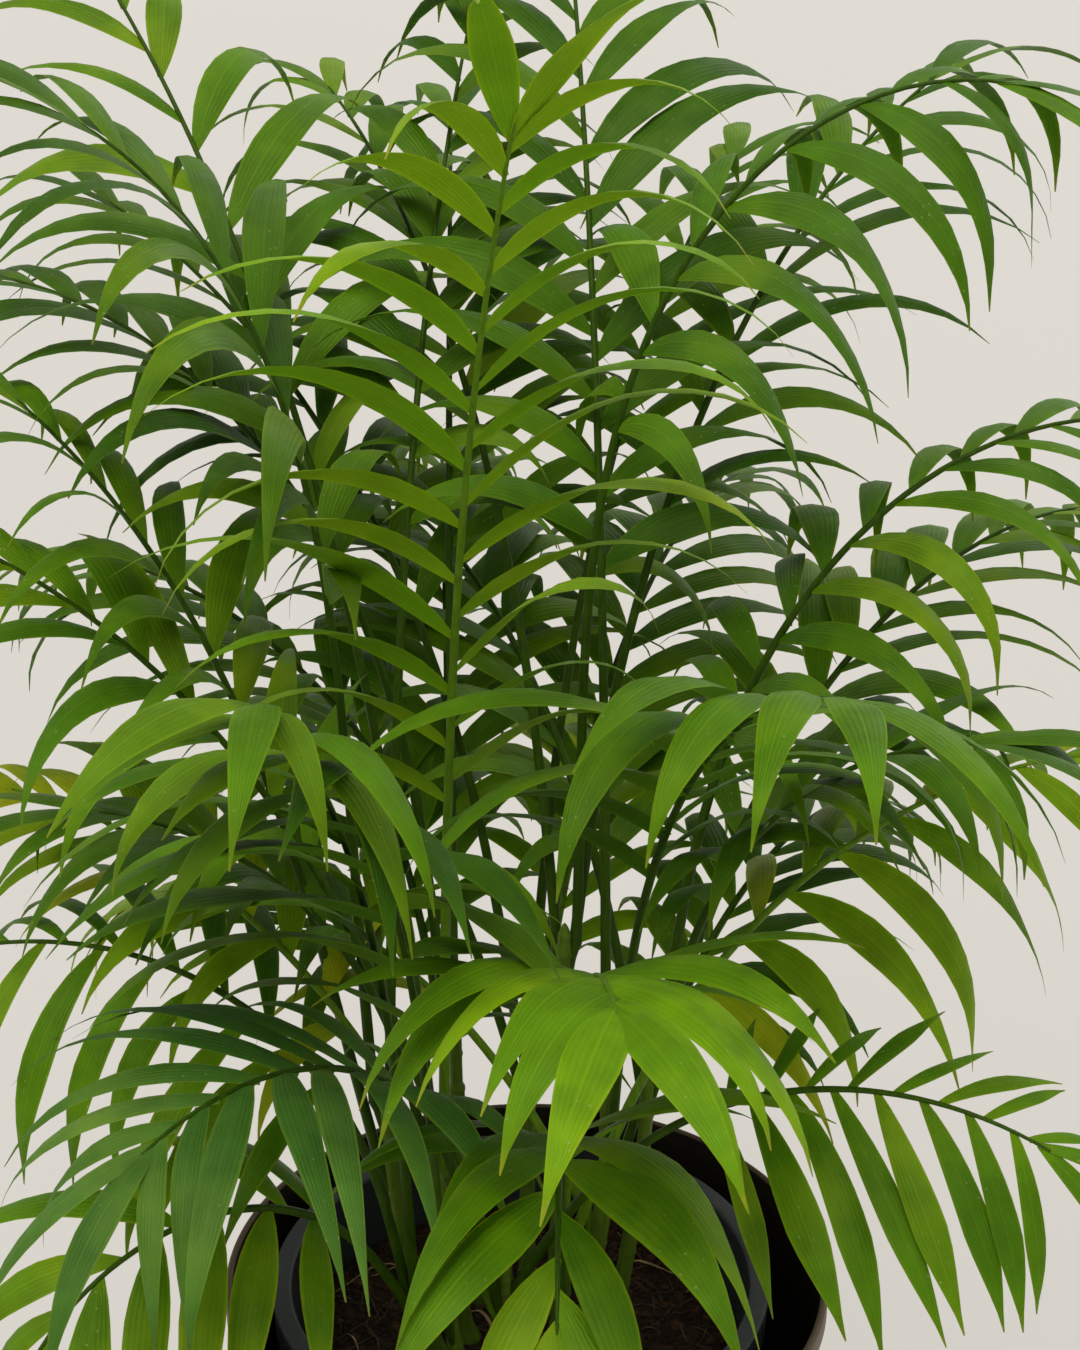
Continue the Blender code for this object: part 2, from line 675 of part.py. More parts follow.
def place_ribs(rows, fixed):
    """Each rib in turn, its azimuth nudged until it clears the canes and the ribs before it."""
    placed = []
    bodies = list(fixed)
    for row in rows:
        tree = tree_of(bodies)
        chosen = None
        for nudge in AZIMUTH_NUDGES:
            azimuth = row["azimuth"] + nudge
            points = rib_curve(row, azimuth, RIB_STATIONS)
            shares = [k / (RIB_STATIONS - 1) for k in range(RIB_STATIONS)]
            radii = [rib_radius(share) for share in shares]
            room = tube_mesh(points, [radius + CLEAR for radius in radii], RIB_ROOM_SIDES)
            if not tree.overlap(tree_of([room])):
                chosen = points, seated_rib(row, azimuth, points, radii)
                break
        if chosen is None:
            print("left out for want of room:", row["name"])
            continue
        placed.append((row, chosen[0], chosen[1]))
        bodies.append(chosen[1])
    return placed


def place_leaves(placed, fixed):
    """Leaflets frond by frond: each takes the first setting that clears everything else."""
    crown = []
    others = list(fixed)
    for number, (row, points, rib) in enumerate(placed):
        rng = random.Random(SEED + number)
        ribs = [entry[2] for entry in placed if entry[0] is not row]
        tree = tree_of(others + ribs)
        leaves = []
        for plan in leaf_plan(row, rng):
            for tweak in LEAF_TRIES:
                frames, length = leaf_frames(points, plan, tweak)
                if length < LEAF_SHORTEST:
                    break
                if not tree.overlap(tree_of([leaf_mesh(frames, length, CLEAR)])):
                    leaves.append((frames, length))
                    break
        others.extend(leaf_mesh(frames, length) for frames, length in leaves)
        crown.append((row, rib, leaves))
        print(row["name"], len(leaves), "leaflets")
    return crown


def union(obj, pieces_collection):
    """One Boolean union of the object with every piece of the collection, applied."""
    joined = obj.modifiers.new("Join", "BOOLEAN")
    joined.operation = "UNION"
    joined.operand_type = "COLLECTION"
    joined.collection = pieces_collection
    joined.solver = "MANIFOLD"
    graph = bpy.context.evaluated_depsgraph_get()
    mesh = bpy.data.meshes.new_from_object(obj.evaluated_get(graph))
    obj.modifiers.remove(joined)
    old = obj.data
    obj.data = mesh
    bpy.data.meshes.remove(old)
    for piece in list(pieces_collection.objects):
        data = piece.data
        bpy.data.objects.remove(piece, do_unlink=True)
        bpy.data.meshes.remove(data)


def build():
    clear_scene()
    collection = new_collection(OBJECT)
    pieces = new_collection(OBJECT + "_pieces")
    pieces.hide_render = True
    outer_pot(collection)
    nursery_pot(collection)
    soil_bed(collection)
    cane_finish = material("cane_green", (0.110, 0.170, 0.030, 1.0), 0.5)
    canes = [body_of(cane(index, collection, cane_finish)) for index in range(len(CANES))]
    leaf_finishes = {name: material("leaf_" + name, colour, 0.45) for name, colour in LEAF_COLOURS.items()}
    fixed = pot_walls() + canes
    placed = place_ribs(frond_rows(), fixed)
    total = 0
    for row, rib, leaves in place_leaves(placed, fixed):
        finish = leaf_finishes[row["colour"]]
        frond = mesh_object("frond_" + row["name"], rib[0], outward(*rib), collection, finish)
        for number, (frames, length) in enumerate(leaves):
            verts, faces = leaf_mesh(frames, length)
            mesh_object(f"leaf_{number}", verts, outward(verts, faces), pieces, finish)
        union(frond, pieces)
        total += len(leaves)
    bpy.data.collections.remove(pieces)
    print("leaflets in all:", total)


build()
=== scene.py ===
import math
import random

import bpy
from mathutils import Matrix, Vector, noise
from mathutils.bvhtree import BVHTree


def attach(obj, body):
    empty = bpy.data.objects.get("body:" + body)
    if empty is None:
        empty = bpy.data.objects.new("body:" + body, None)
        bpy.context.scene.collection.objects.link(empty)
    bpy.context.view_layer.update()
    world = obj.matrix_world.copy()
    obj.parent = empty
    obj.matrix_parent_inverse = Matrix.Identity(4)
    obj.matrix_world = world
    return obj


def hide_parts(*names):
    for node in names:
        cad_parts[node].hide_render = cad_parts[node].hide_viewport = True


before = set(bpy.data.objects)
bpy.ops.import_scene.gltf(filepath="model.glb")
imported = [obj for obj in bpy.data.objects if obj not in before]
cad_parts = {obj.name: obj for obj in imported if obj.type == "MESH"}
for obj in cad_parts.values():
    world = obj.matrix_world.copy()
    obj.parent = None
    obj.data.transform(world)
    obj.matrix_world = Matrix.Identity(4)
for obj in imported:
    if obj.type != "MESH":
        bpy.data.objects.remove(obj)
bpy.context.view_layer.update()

# The dressed parlour palm. Metres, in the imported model's own frame: origin under the outer
# pot, +Z up, the photographed side towards -Y. A size that the solids have too is the same here.

up = Vector((0.0, 0.0, 1.0))
studio = bpy.context.scene.collection

outerPot = dict(height=0.260, rimRadius=0.1455, baseRadius=0.1110, wall=0.0035, floor=0.006,
                flare=0.0008, innerRound=0.006, rimBand=0.012, bandStep=0.0010, footRound=0.003,
                footRing=0.012, footHollow=0.0012, sides=36, fineSides=160)
nurseryPot = dict(top=0.252, rimRadius=0.1215, baseRadius=0.0860, wall=0.0020, floor=0.0093,
                  bottom=0.0063, rimDepth=0.020, rimStep=0.0075, offset=(-0.003, 0.006),
                  lipRound=0.0018, edgeRound=0.0014, footRound=0.003, fineSides=144)
soil = dict(top=0.217, reach=0.1108, bottom=0.0096, rings=44, spokes=150, bump=0.0034,
            dip=0.0030, settled=0.0012, lowest=-0.9, highest=0.75, strewnRings=18,
            strewnSpokes=72, edge=0.97, seed=11)
cane = dict(footShare=0.72, footRadius=0.0048, tipRadius=0.0030, flareRadius=0.0066,
            flareHeight=0.008, bow=0.004, gap=0.0003, fineStep=0.0015, skin=0.90,
            ringSpacing=0.019, ringShift=0.004, ringSwell=0.0005, ringWidth=0.0012,
            sheathOver=0.004, sheathLength=0.026, sheathSwell=0.00066, tipRound=0.006,
            tipLoss=0.88, sides=14, rootDepth=0.006)
rib = dict(footRadius=0.0026, tipRadius=0.0010, stations=8, sides=3, roomSides=7,
           offCane=0.0012, seatRadius=0.0016, seatOffCane=0.00095, seatDrop=0.0015,
           clear=0.0005, fineStations=44, fineFoot=0.0027, fineTip=0.0007, finePower=0.9,
           fineSides=10, hug=0.0012, hugStations=6,
           leadIn=((0.020, 0.45, 0.0017), (0.011, 0.85, 0.0023), (0.004, 1.25, 0.0026)))
leaf = dict(widthShare=0.108, widthMore=0.002, widthMost=0.0186, rootWidth=0.0026,
            tipHalf=0.0003, swellPower=0.85, pointPowers=(1.5, 1.25), sink=0.0004, steps=12,
            sectionSides=8, thickness=0.040, fold=0.16, sharpMargin=75.0,
            sweepFirst=50.0, sweepLast=25.0, sweepEnd=15.0, liftFirst=24.0, liftLast=8.0,
            droop=106.0, steepest=-86.0, twistStart=0.15, twist=0.88, wave=9.0, waveTurns=1.3,
            shortest=0.035, denser=1.18)

# Where each cane's tip stands.
canes = (
    (-0.040, 0.000, 0.345), (0.038, 0.004, 0.365), (-0.066, -0.006, 0.365),
    (0.018, 0.030, 0.430), (0.060, 0.016, 0.400), (0.017, -0.014, 0.300),
    (-0.010, -0.030, 0.285), (-0.052, -0.034, 0.290), (0.000, 0.062, 0.380),
    (-0.036, 0.044, 0.400), (0.016, -0.040, 0.275), (-0.036, -0.050, 0.280),
)

# Fronds that face the photo. Angles in degrees, azimuth from +X, drop below the cane's tip.
frondKeys = ("name", "cane", "drop", "azimuth", "rise", "droop", "bend", "length", "bare",
             "pairs", "leaf", "colour")
fronds = (
    ("centre_bright", 0, 0.012, -77, 86, 36, 1.5, 0.525, 0.35, 10, 0.155, "lime"),
    ("back_tall", 1, 0.014, 95, 86, 45, 1.5, 0.590, 0.42, 10, 0.165, "deep"),
    ("upper_right", 3, 0.010, 0, 90, 102, 3.0, 0.490, 0.50, 8, 0.145, "mid"),
    ("back_left_tall", 2, 0.014, 80, 84, 46, 1.5, 0.540, 0.50, 8, 0.120, "deep"),
    ("upper_left", 0, 0.020, 138, 83, 44, 1.5, 0.600, 0.46, 9, 0.150, "mid"),
    ("left_arch", 2, 0.010, 175, 88, 60, 4.0, 0.480, 0.48, 9, 0.155, "deep"),
    ("left_far", 9, 0.012, 170, 86, 80, 1.8, 0.430, 0.50, 8, 0.130, "deep"),
    ("left_middle", 2, 0.044, 172, 79, 38, 2.5, 0.400, 0.50, 7, 0.125, "mid"),
    ("right_middle", 4, 0.012, 12, 84, 96, 1.9, 0.400, 0.34, 8, 0.130, "mid"),
    ("right_arch", 1, 0.030, -68, 84, 68, 1.5, 0.370, 0.42, 8, 0.165, "mid"),
    ("right_low", 5, 0.012, 4, 74, 66, 1.5, 0.345, 0.40, 7, 0.125, "olive"),
    ("left_front", 7, 0.010, -102, 84, 50, 1.5, 0.410, 0.50, 7, 0.140, "mid"),
    ("left_front_inner", 11, 0.010, -106, 84, 40, 2.0, 0.350, 0.48, 7, 0.155, "deep"),
    ("left_level", 6, 0.008, 180, 74, 52, 2.2, 0.450, 0.50, 7, 0.130, "mid"),
    ("left_yellow", 6, 0.028, 170, 72, 62, 1.7, 0.350, 0.42, 7, 0.105, "olive"),
    ("left_comb", 7, 0.026, 188, 84, 94, 1.5, 0.310, 0.36, 8, 0.125, "mid"),
    ("front_left_blue", 6, 0.020, -132, 83, 104, 1.5, 0.305, 0.44, 7, 0.140, "deep"),
    ("front_left_low", 7, 0.034, -152, 68, 118, 1.5, 0.255, 0.32, 7, 0.140, "mid"),
    ("front_bright", 5, 0.004, -86, 74, 66, 1.5, 0.340, 0.44, 8, 0.140, "lime"),
    ("right_front_low", 6, 0.014, -26, 65, 86, 1.5, 0.310, 0.44, 8, 0.120, "mid"),
    ("front_low", 10, 0.008, -91, 83, 128, 1.6, 0.290, 0.30, 7, 0.145, "mid"),
    ("inner_left", 0, 0.036, -165, 84, 70, 1.5, 0.270, 0.36, 6, 0.130, "deep"),
    ("inner_right", 4, 0.040, -28, 84, 74, 1.5, 0.260, 0.36, 6, 0.130, "deep"),
)
# Far side, each tier spread evenly: count, first and last azimuth, canes, drop, rise, droop,
# length, bare share, pairs, leaflet length, colours in turn.
tiers = (
    ("far_high", 5, 36, 146, (3, 8, 9), 0.016, 82, 60, 0.480, 0.44, 8, 0.150, ("deep", "mid")),
    ("far_middle", 5, 34, 152, (4, 8, 9), 0.040, 74, 80, 0.380, 0.38, 8, 0.140, ("mid", "deep")),
    ("far_low", 4, 38, 148, (1, 8, 9), 0.070, 62, 88, 0.300, 0.34, 7, 0.130, ("deep", "olive")),
)
tierBend = 1.5
tierDropStep = 0.012

# How a frond's own leaflets differ: pairs, breadth, how full their roots are, the blade's tilt
# about its rib (positive lowers the side on the rib's right), how far both sides fall from
# level, extra sweep from the rib in degrees, how far and how late they droop, how much further
# towards the frond's lightest tint they are dealt, the share of length at their broadest, how
# long those on the rib's left are for those on its right, and a skin of their own.
frondLooks = {
    "centre_bright": dict(pairs=12, breadth=1.12, droop=0.95, sweep=4.0, shade=0.3),
    "back_tall": dict(pairs=11, breadth=1.2),
    "upper_right": dict(pairs=7, breadth=1.2, tilt=24.0, fall=22.0, sweep=10.0, late=1.1,
                        shade=-0.35),
    "upper_left": dict(pairs=8, breadth=1.15, tilt=-14.0),
    "left_arch": dict(pairs=8, breadth=1.15),
    "left_middle": dict(pairs=7, breadth=1.2),
    "right_middle": dict(pairs=10, breadth=1.1, tilt=8.0, fall=14.0, sweep=10.0, droop=1.1),
    "right_arch": dict(pairs=8, breadth=1.35, root=0.45, tilt=-14.0, sweep=8.0, late=1.2,
                       shade=-0.15),
    "right_low": dict(pairs=7, breadth=1.2, tilt=24.0, fall=32.0, sweep=14.0, droop=0.8, late=1.1,
                      shade=0.2),
    "left_front": dict(pairs=6, breadth=1.3, root=0.4, sweep=-8.0, droop=1.15, late=1.0,
                       shade=0.15),
    "left_front_inner": dict(pairs=6, breadth=1.3, fall=20.0, droop=0.9, late=1.0),
    "left_level": dict(pairs=8, breadth=1.15, tilt=-20.0),
    "left_yellow": dict(pairs=8, breadth=1.25, tilt=-24.0, sweep=8.0, shade=0.6),
    "left_comb": dict(pairs=8, breadth=0.95, tilt=-30.0, fall=26.0, sweep=18.0, droop=0.7, late=1.0,
                      broadest=0.52),
    "front_left_blue": dict(pairs=8, breadth=1.05, root=0.5, tilt=-8.0, sweep=10.0, droop=0.85,
                            shade=0.1, skin="blue"),
    "front_left_low": dict(pairs=6, breadth=1.25, tilt=-24.0, fall=10.0, sweep=8.0, late=1.1,
                           shade=0.5),
    "front_bright": dict(pairs=7, breadth=1.5, root=0.75, droop=0.85, shade=-0.35),
    "right_front_low": dict(pairs=8, bare=0.50, breadth=1.1, tilt=40.0, fall=22.0, sweep=16.0,
                            droop=0.42, late=1.0, shade=0.1, broadest=0.58, leftShare=0.52),
    "front_low": dict(pairs=6, breadth=1.5, droop=0.85),
}
plainLook = dict(breadth=1.3, root=0.0, tilt=0.0, fall=0.0, sweep=0.0, droop=1.0, late=1.4,
                 shade=0.0, broadest=0.38, leftShare=1.0)
# The lower far tiers' leaflets start nearer the cane than on the solids, to fill the middle.
lowTierLook = dict(bareShare=0.72, morePairs=2)
highTierLook = dict(pairs=8, breadth=1.08)
azimuthNudges = (0, 7, -7, 14, -14, 21, -21, 28, -28)
# Settings that a leaflet tries in turn: more sweep, more droop, share of its length.
leafTries = ((0, 0, 1.0), (6, 12, 1.0), (-6, -14, 1.0), (10, -8, 0.9), (-12, 16, 0.85),
             (14, 26, 0.72))


# Node and mesh helpers.
def setAll(target, **settings):
    for name, value in settings.items():
        setattr(target, name, value)
    return target


# An input takes another node's output or a plain value, and a colour takes three numbers.
def feed(tree, node, inputs):
    for key, value in inputs.items():
        socket = node.inputs[key]
        if isinstance(value, bpy.types.NodeSocket):
            tree.links.new(value, socket)
        elif socket.type == "RGBA":
            socket.default_value = (*value, 1.0)
        else:
            socket.default_value = value


def newMaterial(name, colour, roughness):
    made = bpy.data.materials.new(name)
    made.use_nodes = True
    made.diffuse_color = (*colour, 1.0)
    shader = made.node_tree.nodes["Principled BSDF"]
    feed(made.node_tree, shader, {"Base Color": colour, "Roughness": roughness})
    return made, made.node_tree, shader


def addNode(tree, kind, inputs=None, **settings):
    made = setAll(tree.nodes.new(kind), **settings)
    feed(tree, made, inputs or {})
    return made


def outOf(tree, kind, inputs=None, **settings):
    return addNode(tree, kind, inputs, **settings).outputs[0]


def mathNode(tree, operation, *values):
    return outOf(tree, "ShaderNodeMath", dict(enumerate(values)), operation=operation)


# Inputs 6 and 7 of the node are its two colours.
def mixColour(tree, factor, first, second):
    made = addNode(tree, "ShaderNodeMix", {0: factor, 6: first, 7: second}, data_type="RGBA")
    return made.outputs[2]


# Mixes each layer's colour over the last, by its mask times its share.
def layered(tree, base, layers):
    for mask, share, colour in layers:
        base = mixColour(tree, mathNode(tree, "MULTIPLY", mask, share), base, colour)
    return base


def noiseNode(tree, place, scale, detail=3.0, grain=0.55):
    return outOf(tree, "ShaderNodeTexNoise", {"Vector": place, "Scale": scale, "Detail": detail,
                                              "Roughness": grain})


def rangeNode(tree, value, low, high, newLow=0.0, newHigh=1.0):
    return outOf(tree, "ShaderNodeMapRange", {"Value": value, "From Min": low, "From Max": high,
                                              "To Min": newLow, "To Max": newHigh})


# Noise between two of its levels, spread over a range.
def cloudNode(tree, place, scale, low, high, newLow=0.0, newHigh=1.0, detail=3.0, grain=0.55):
    clouds = noiseNode(tree, place, scale, detail, grain)
    return rangeNode(tree, clouds, low, high, newLow, newHigh)


def bumpNode(tree, height, strength, distance):
    return outOf(tree, "ShaderNodeBump", {"Height": height, "Strength": strength,
                                          "Distance": distance})


def objectCoordinates(tree):
    return addNode(tree, "ShaderNodeTexCoord").outputs["Object"]


def shaded(colour, share):
    return tuple(c * share for c in colour)


def linkedObject(name, data):
    made = bpy.data.objects.new(name, data)
    studio.objects.link(made)
    return made


def meshObject(name, points, edges, faces):
    mesh = bpy.data.meshes.new(name)
    mesh.from_pydata(points, edges, faces)
    return linkedObject(name, mesh)


# Keeps what the modifiers make as a plain mesh, and drops the modifiers.
def plainMesh(obj, name):
    graph = bpy.context.evaluated_depsgraph_get()
    mesh = bpy.data.meshes.new_from_object(obj.evaluated_get(graph))
    mesh.name = name
    obj.modifiers.clear()
    old = obj.data
    obj.data = mesh
    bpy.data.meshes.remove(old)
    return obj


def signedVolume(mesh):
    total = 0.0
    for face in mesh.polygons:
        corners = [mesh.vertices[i].co for i in face.vertices]
        for k in range(1, len(corners) - 1):
            total += corners[0].dot(corners[k].cross(corners[k + 1]))
    return total


# Faces outwards, with its finish and smooth.
def finished(obj, material):
    if signedVolume(obj.data) < 0:
        obj.data.flip_normals()
    obj.data.materials.clear()
    obj.data.materials.append(material)
    obj.data.shade_smooth()
    return obj


def declare(obj, nodes=()):
    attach(obj, "root")
    if nodes:
        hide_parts(*nodes)
    return obj


# Geometry node trees.
def groupTree(name, **kinds):
    tree = bpy.data.node_groups.new(name, "GeometryNodeTree")
    for socket, kind in dict(Geometry="Geometry", **kinds).items():
        tree.interface.new_socket(socket, in_out="INPUT", socket_type="NodeSocket" + kind)
    tree.interface.new_socket("Geometry", in_out="OUTPUT", socket_type="NodeSocketGeometry")
    return tree, addNode(tree, "NodeGroupInput").outputs


def finishTree(tree, given, geometry):
    inputs = {"Geometry": geometry, "Material": given["finish"]}
    addNode(tree, "NodeGroupOutput", {"Geometry": outOf(tree, "GeometryNodeSetMaterial", inputs)})
    return tree


def readValues(tree, name, kind="FLOAT"):
    return outOf(tree, "GeometryNodeInputNamedAttribute", {"Name": name}, data_type=kind)


def storeValues(tree, geometry, name, value, kind="FLOAT", domain="POINT"):
    inputs = {"Geometry": geometry, "Name": name, "Value": value}
    return outOf(tree, "GeometryNodeStoreNamedAttribute", inputs, data_type=kind, domain=domain)


# Sweeps a folded or round section along every strip of edges, wide by its 'half' values.
def sweepTree():
    tree, given = groupTree("sweep along strips", sectionSides="Int", thickness="Float",
                            fold="Float", finish="Material")
    section = outOf(tree, "GeometryNodeCurvePrimitiveCircle",
                    {"Radius": 1.0, "Resolution": given["sectionSides"]})
    place = outOf(tree, "GeometryNodeInputPosition")
    parts = addNode(tree, "ShaderNodeSeparateXYZ", {0: place}).outputs
    section = storeValues(tree, section, "across", parts["Y"])
    section = storeValues(tree, section, "upper", parts["X"])
    drop = mathNode(tree, "MULTIPLY", mathNode(tree, "ABSOLUTE", parts["Y"]), given["fold"])
    thick = mathNode(tree, "MULTIPLY", parts["X"], given["thickness"])
    high = mathNode(tree, "SUBTRACT", thick, drop)
    folded = outOf(tree, "ShaderNodeCombineXYZ", {"X": high, "Y": parts["Y"]})
    section = outOf(tree, "GeometryNodeSetPosition", {"Geometry": section, "Position": folded})
    strips = outOf(tree, "GeometryNodeMeshToCurve", {"Mesh": given["Geometry"]})
    top = readValues(tree, "top", "FLOAT_VECTOR")
    strips = outOf(tree, "GeometryNodeSetCurveNormal", {"Curve": strips, "Normal": top},
                   mode="FREE")
    swept = outOf(tree, "GeometryNodeCurveToMesh",
                  {"Curve": strips, "Profile Curve": section, "Scale": readValues(tree, "half"),
                   "Fill Caps": True})
    spread = mathNode(tree, "MULTIPLY_ADD", readValues(tree, "across"), 0.5, 0.5)
    flat = outOf(tree, "ShaderNodeCombineXYZ", {"X": spread, "Y": readValues(tree, "along")})
    swept = storeValues(tree, swept, "UVMap", flat, "FLOAT2", "CORNER")
    swept = outOf(tree, "GeometryNodeSetShadeSmooth", {"Geometry": swept})
    return finishTree(tree, given, outOf(tree, "GeometryNodeRealizeInstances", {"Geometry": swept}))


# Strews lumps over a surface: seeded places, turns and sizes, each squashed a little.
def scatterTree():
    tree, given = groupTree("strew lumps", density="Float", size="Float", flatness="Float",
                            seed="Int", finish="Material")
    places = outOf(tree, "GeometryNodeDistributePointsOnFaces",
                   {"Mesh": given["Geometry"], "Density": given["density"], "Seed": given["seed"]})
    lump = outOf(tree, "GeometryNodeMeshIcoSphere", {"Subdivisions": 2, "Radius": given["size"]})
    turn, grow = (
        outOf(tree, "FunctionNodeRandomValue", {"Min": low, "Max": high, "Seed": given["seed"]},
              data_type="FLOAT_VECTOR")
        for low, high in (((-0.5, -0.5, 0.0), (0.5, 0.5, math.tau)),
                          ((0.45, 0.45, 0.45), (1.65, 1.25, 1.1))))
    squash = outOf(tree, "ShaderNodeCombineXYZ", {"X": 1.0, "Y": 1.0, "Z": given["flatness"]})
    sized = outOf(tree, "ShaderNodeVectorMath", {0: grow, 1: squash}, operation="MULTIPLY")
    copies = outOf(tree, "GeometryNodeInstanceOnPoints",
                   {"Points": places, "Instance": lump, "Rotation": turn, "Scale": sized})
    copies = outOf(tree, "GeometryNodeRealizeInstances", {"Geometry": copies})
    rough = addNode(tree, "ShaderNodeTexNoise", {"Scale": 520.0}).outputs["Color"]
    centred = outOf(tree, "ShaderNodeVectorMath", {0: rough, 1: (0.5, 0.5, 0.5)},
                    operation="SUBTRACT")
    push = outOf(tree, "ShaderNodeVectorMath", {0: centred, "Scale": given["size"]},
                 operation="SCALE")
    moved = outOf(tree, "GeometryNodeSetPosition", {"Geometry": copies, "Offset": push})
    return finishTree(tree, given, moved)


# Sets the tree's inputs, and keeps the plain mesh that it makes.
def runTree(obj, tree, name, **values):
    changer = obj.modifiers.new("nodes", "NODES")
    changer.node_group = tree
    for socket in tree.interface.items_tree:
        if socket.in_out == "INPUT" and socket.name in values:
            changer[socket.identifier] = values[socket.name]
    return plainMesh(obj, name)


# Strips of edges with the values that the sweep reads: (points, tops, halves) each.
def stripObject(name, strips):
    points = []
    edges = []
    tops = []
    halves = []
    along = []
    for stripPoints, stripTops, stripHalves in strips:
        first = len(points)
        points.extend(tuple(p) for p in stripPoints)
        edges.extend((first + k, first + k + 1) for k in range(len(stripPoints) - 1))
        for stripTop in stripTops:
            tops.extend(stripTop)
        halves.extend(stripHalves)
        along.extend(k / (len(stripPoints) - 1) for k in range(len(stripPoints)))
    made = meshObject(name, points, edges, [])
    values = made.data.attributes
    values.new("half", "FLOAT", "POINT").data.foreach_set("value", halves)
    values.new("along", "FLOAT", "POINT").data.foreach_set("value", along)
    values.new("top", "FLOAT_VECTOR", "POINT").data.foreach_set("vector", tops)
    return made


# The plant's growth rule.
# A direction turned by an angle from the first towards the second.
def aslant(first, second, angle):
    return first * math.cos(angle) + second * math.sin(angle)


def headingOf(azimuth):
    return Vector((math.cos(math.radians(azimuth)), math.sin(math.radians(azimuth)), 0.0))


def canePoint(index, share):
    x, y, z = canes[index]
    foot = Vector((x * cane["footShare"], y * cane["footShare"], soil["top"] + cane["gap"]))
    bow = Vector((x, y, 0.0)).normalized() * cane["bow"] * math.sin(math.pi * share)
    return foot.lerp(Vector((x, y, z)), share) + bow


def caneRadius(index, share):
    height = canes[index][2] - soil["top"]
    flare = max(0.0, 1.0 - share * height / cane["flareHeight"])
    plain = cane["footRadius"] + (cane["tipRadius"] - cane["footRadius"]) * share
    return plain + (cane["flareRadius"] - cane["footRadius"]) * flare


def lookOf(row):
    look = dict(plainLook, pairs=round(row["pairs"] * leaf["denser"]), bare=row["bare"],
                skin=row["colour"])
    if row["name"].startswith(("far_middle", "far_low")):
        look.update(bare=row["bare"] * lowTierLook["bareShare"],
                    pairs=look["pairs"] + lowTierLook["morePairs"])
    if row["name"].startswith("far_high"):
        look.update(highTierLook)
    look.update(frondLooks.get(row["name"], {}))
    return look


def frondRows():
    rows = [dict(zip(frondKeys, row)) for row in fronds]
    for tier in tiers:
        name, count, first, last, turns, drop, rise, droop, length, bare, pairs, size, shades = tier
        for k in range(count):
            rows.append(dict(
                name=f"{name}_{k + 1}", cane=turns[k % len(turns)],
                drop=drop + tierDropStep * (k // len(turns)),
                azimuth=first + (last - first) * k / (count - 1), rise=rise, droop=droop,
                bend=tierBend, length=length, bare=bare, pairs=pairs, leaf=size,
                colour=shades[k % len(shades)]))
    return rows


def offCane(row, azimuth, room):
    index = row["cane"]
    share = 1.0 - row["drop"] / (canes[index][2] - soil["top"])
    return canePoint(index, share) + headingOf(azimuth) * (caneRadius(index, share) + room)


def ribCurve(row, azimuth, count):
    heading = headingOf(azimuth)
    point = offCane(row, azimuth, rib["footRadius"] + rib["offCane"])
    points = [point]
    step = row["length"] / (count - 1)
    for k in range(count - 1):
        angle = math.radians(row["rise"] - row["droop"] * ((k + 0.5) / (count - 1)) ** row["bend"])
        point = point + aslant(heading, up, angle) * step
        points.append(point)
    return points


def tubeBody(points, radii, sides):
    corners = []
    faces = []
    side = None
    for i, point in enumerate(points):
        ahead = points[min(i + 1, len(points) - 1)] - points[max(i - 1, 0)]
        ahead.normalize()
        if side is None:
            side = ahead.cross(up)
            if side.length < 0.01:
                side = Vector((1.0, 0.0, 0.0))
        side = (side - ahead * side.dot(ahead)).normalized()
        over = side.cross(ahead)
        for k in range(sides):
            turn = math.tau * k / sides + math.pi / 2
            corners.append(point + aslant(side, over, turn) * radii[i])
    for a in range(len(corners) - sides):
        b = a + 1 if (a + 1) % sides else a + 1 - sides
        faces.append((a, b, b + sides, a + sides))
    faces.append(tuple(reversed(range(sides))))
    faces.append(tuple(range(len(corners) - sides, len(corners))))
    return corners, faces


def roomTree(bodies):
    points = []
    faces = []
    for bodyPoints, bodyFaces in bodies:
        first = len(points)
        points.extend(bodyPoints)
        faces.extend(tuple(first + i for i in face) for face in bodyFaces)
    return BVHTree.FromPolygons(points, faces)


def ringPlaces(radius, sides, middle):
    angles = [math.tau * k / sides for k in range(sides)]
    return [(middle[0] + radius * math.cos(a), middle[1] + radius * math.sin(a)) for a in angles]


def wallBand(lowRadius, low, highRadius, high, middle):
    sides = outerPot["sides"]
    points = [Vector((x, y, z)) for radius, z in ((lowRadius, low), (highRadius, high))
              for x, y in ringPlaces(radius, sides, middle)]
    faces = [(k, (k + 1) % sides, (k + 1) % sides + sides, k + sides) for k in range(sides)]
    faces.append(tuple(range(sides)))
    return points, faces


# The same bands round the pots and the soil that the solids keep clear of: how far each lies
# inside, outside and over them.
walls = dict(inside=0.004, insideFoot=0.010, outside=0.002, outsideFoot=0.001, over=0.001,
             nurseryFoot=0.020, lip=0.012, lipInner=0.011)


def potWalls():
    foot, rim, middle = outerPot["baseRadius"], outerPot["rimRadius"], (0, 0)
    rimTop = outerPot["height"] + walls["over"]
    innerRim, here = nurseryPot["rimRadius"], nurseryPot["offset"]
    innerTop = nurseryPot["top"] + walls["over"]
    inside, outside, lip = walls["inside"], walls["outside"], innerRim - walls["lip"]
    return [
        wallBand(foot - inside, walls["insideFoot"], rim - inside, rimTop, middle),
        wallBand(foot + outside, walls["outsideFoot"], rim + outside, rimTop, middle),
        wallBand(nurseryPot["baseRadius"], walls["nurseryFoot"], innerRim + walls["over"],
                 innerTop, here),
        wallBand(lip, soil["top"] + walls["over"], innerRim - walls["lipInner"], innerTop, here),
        wallBand(lip, innerTop, innerRim, innerTop, here),
    ]


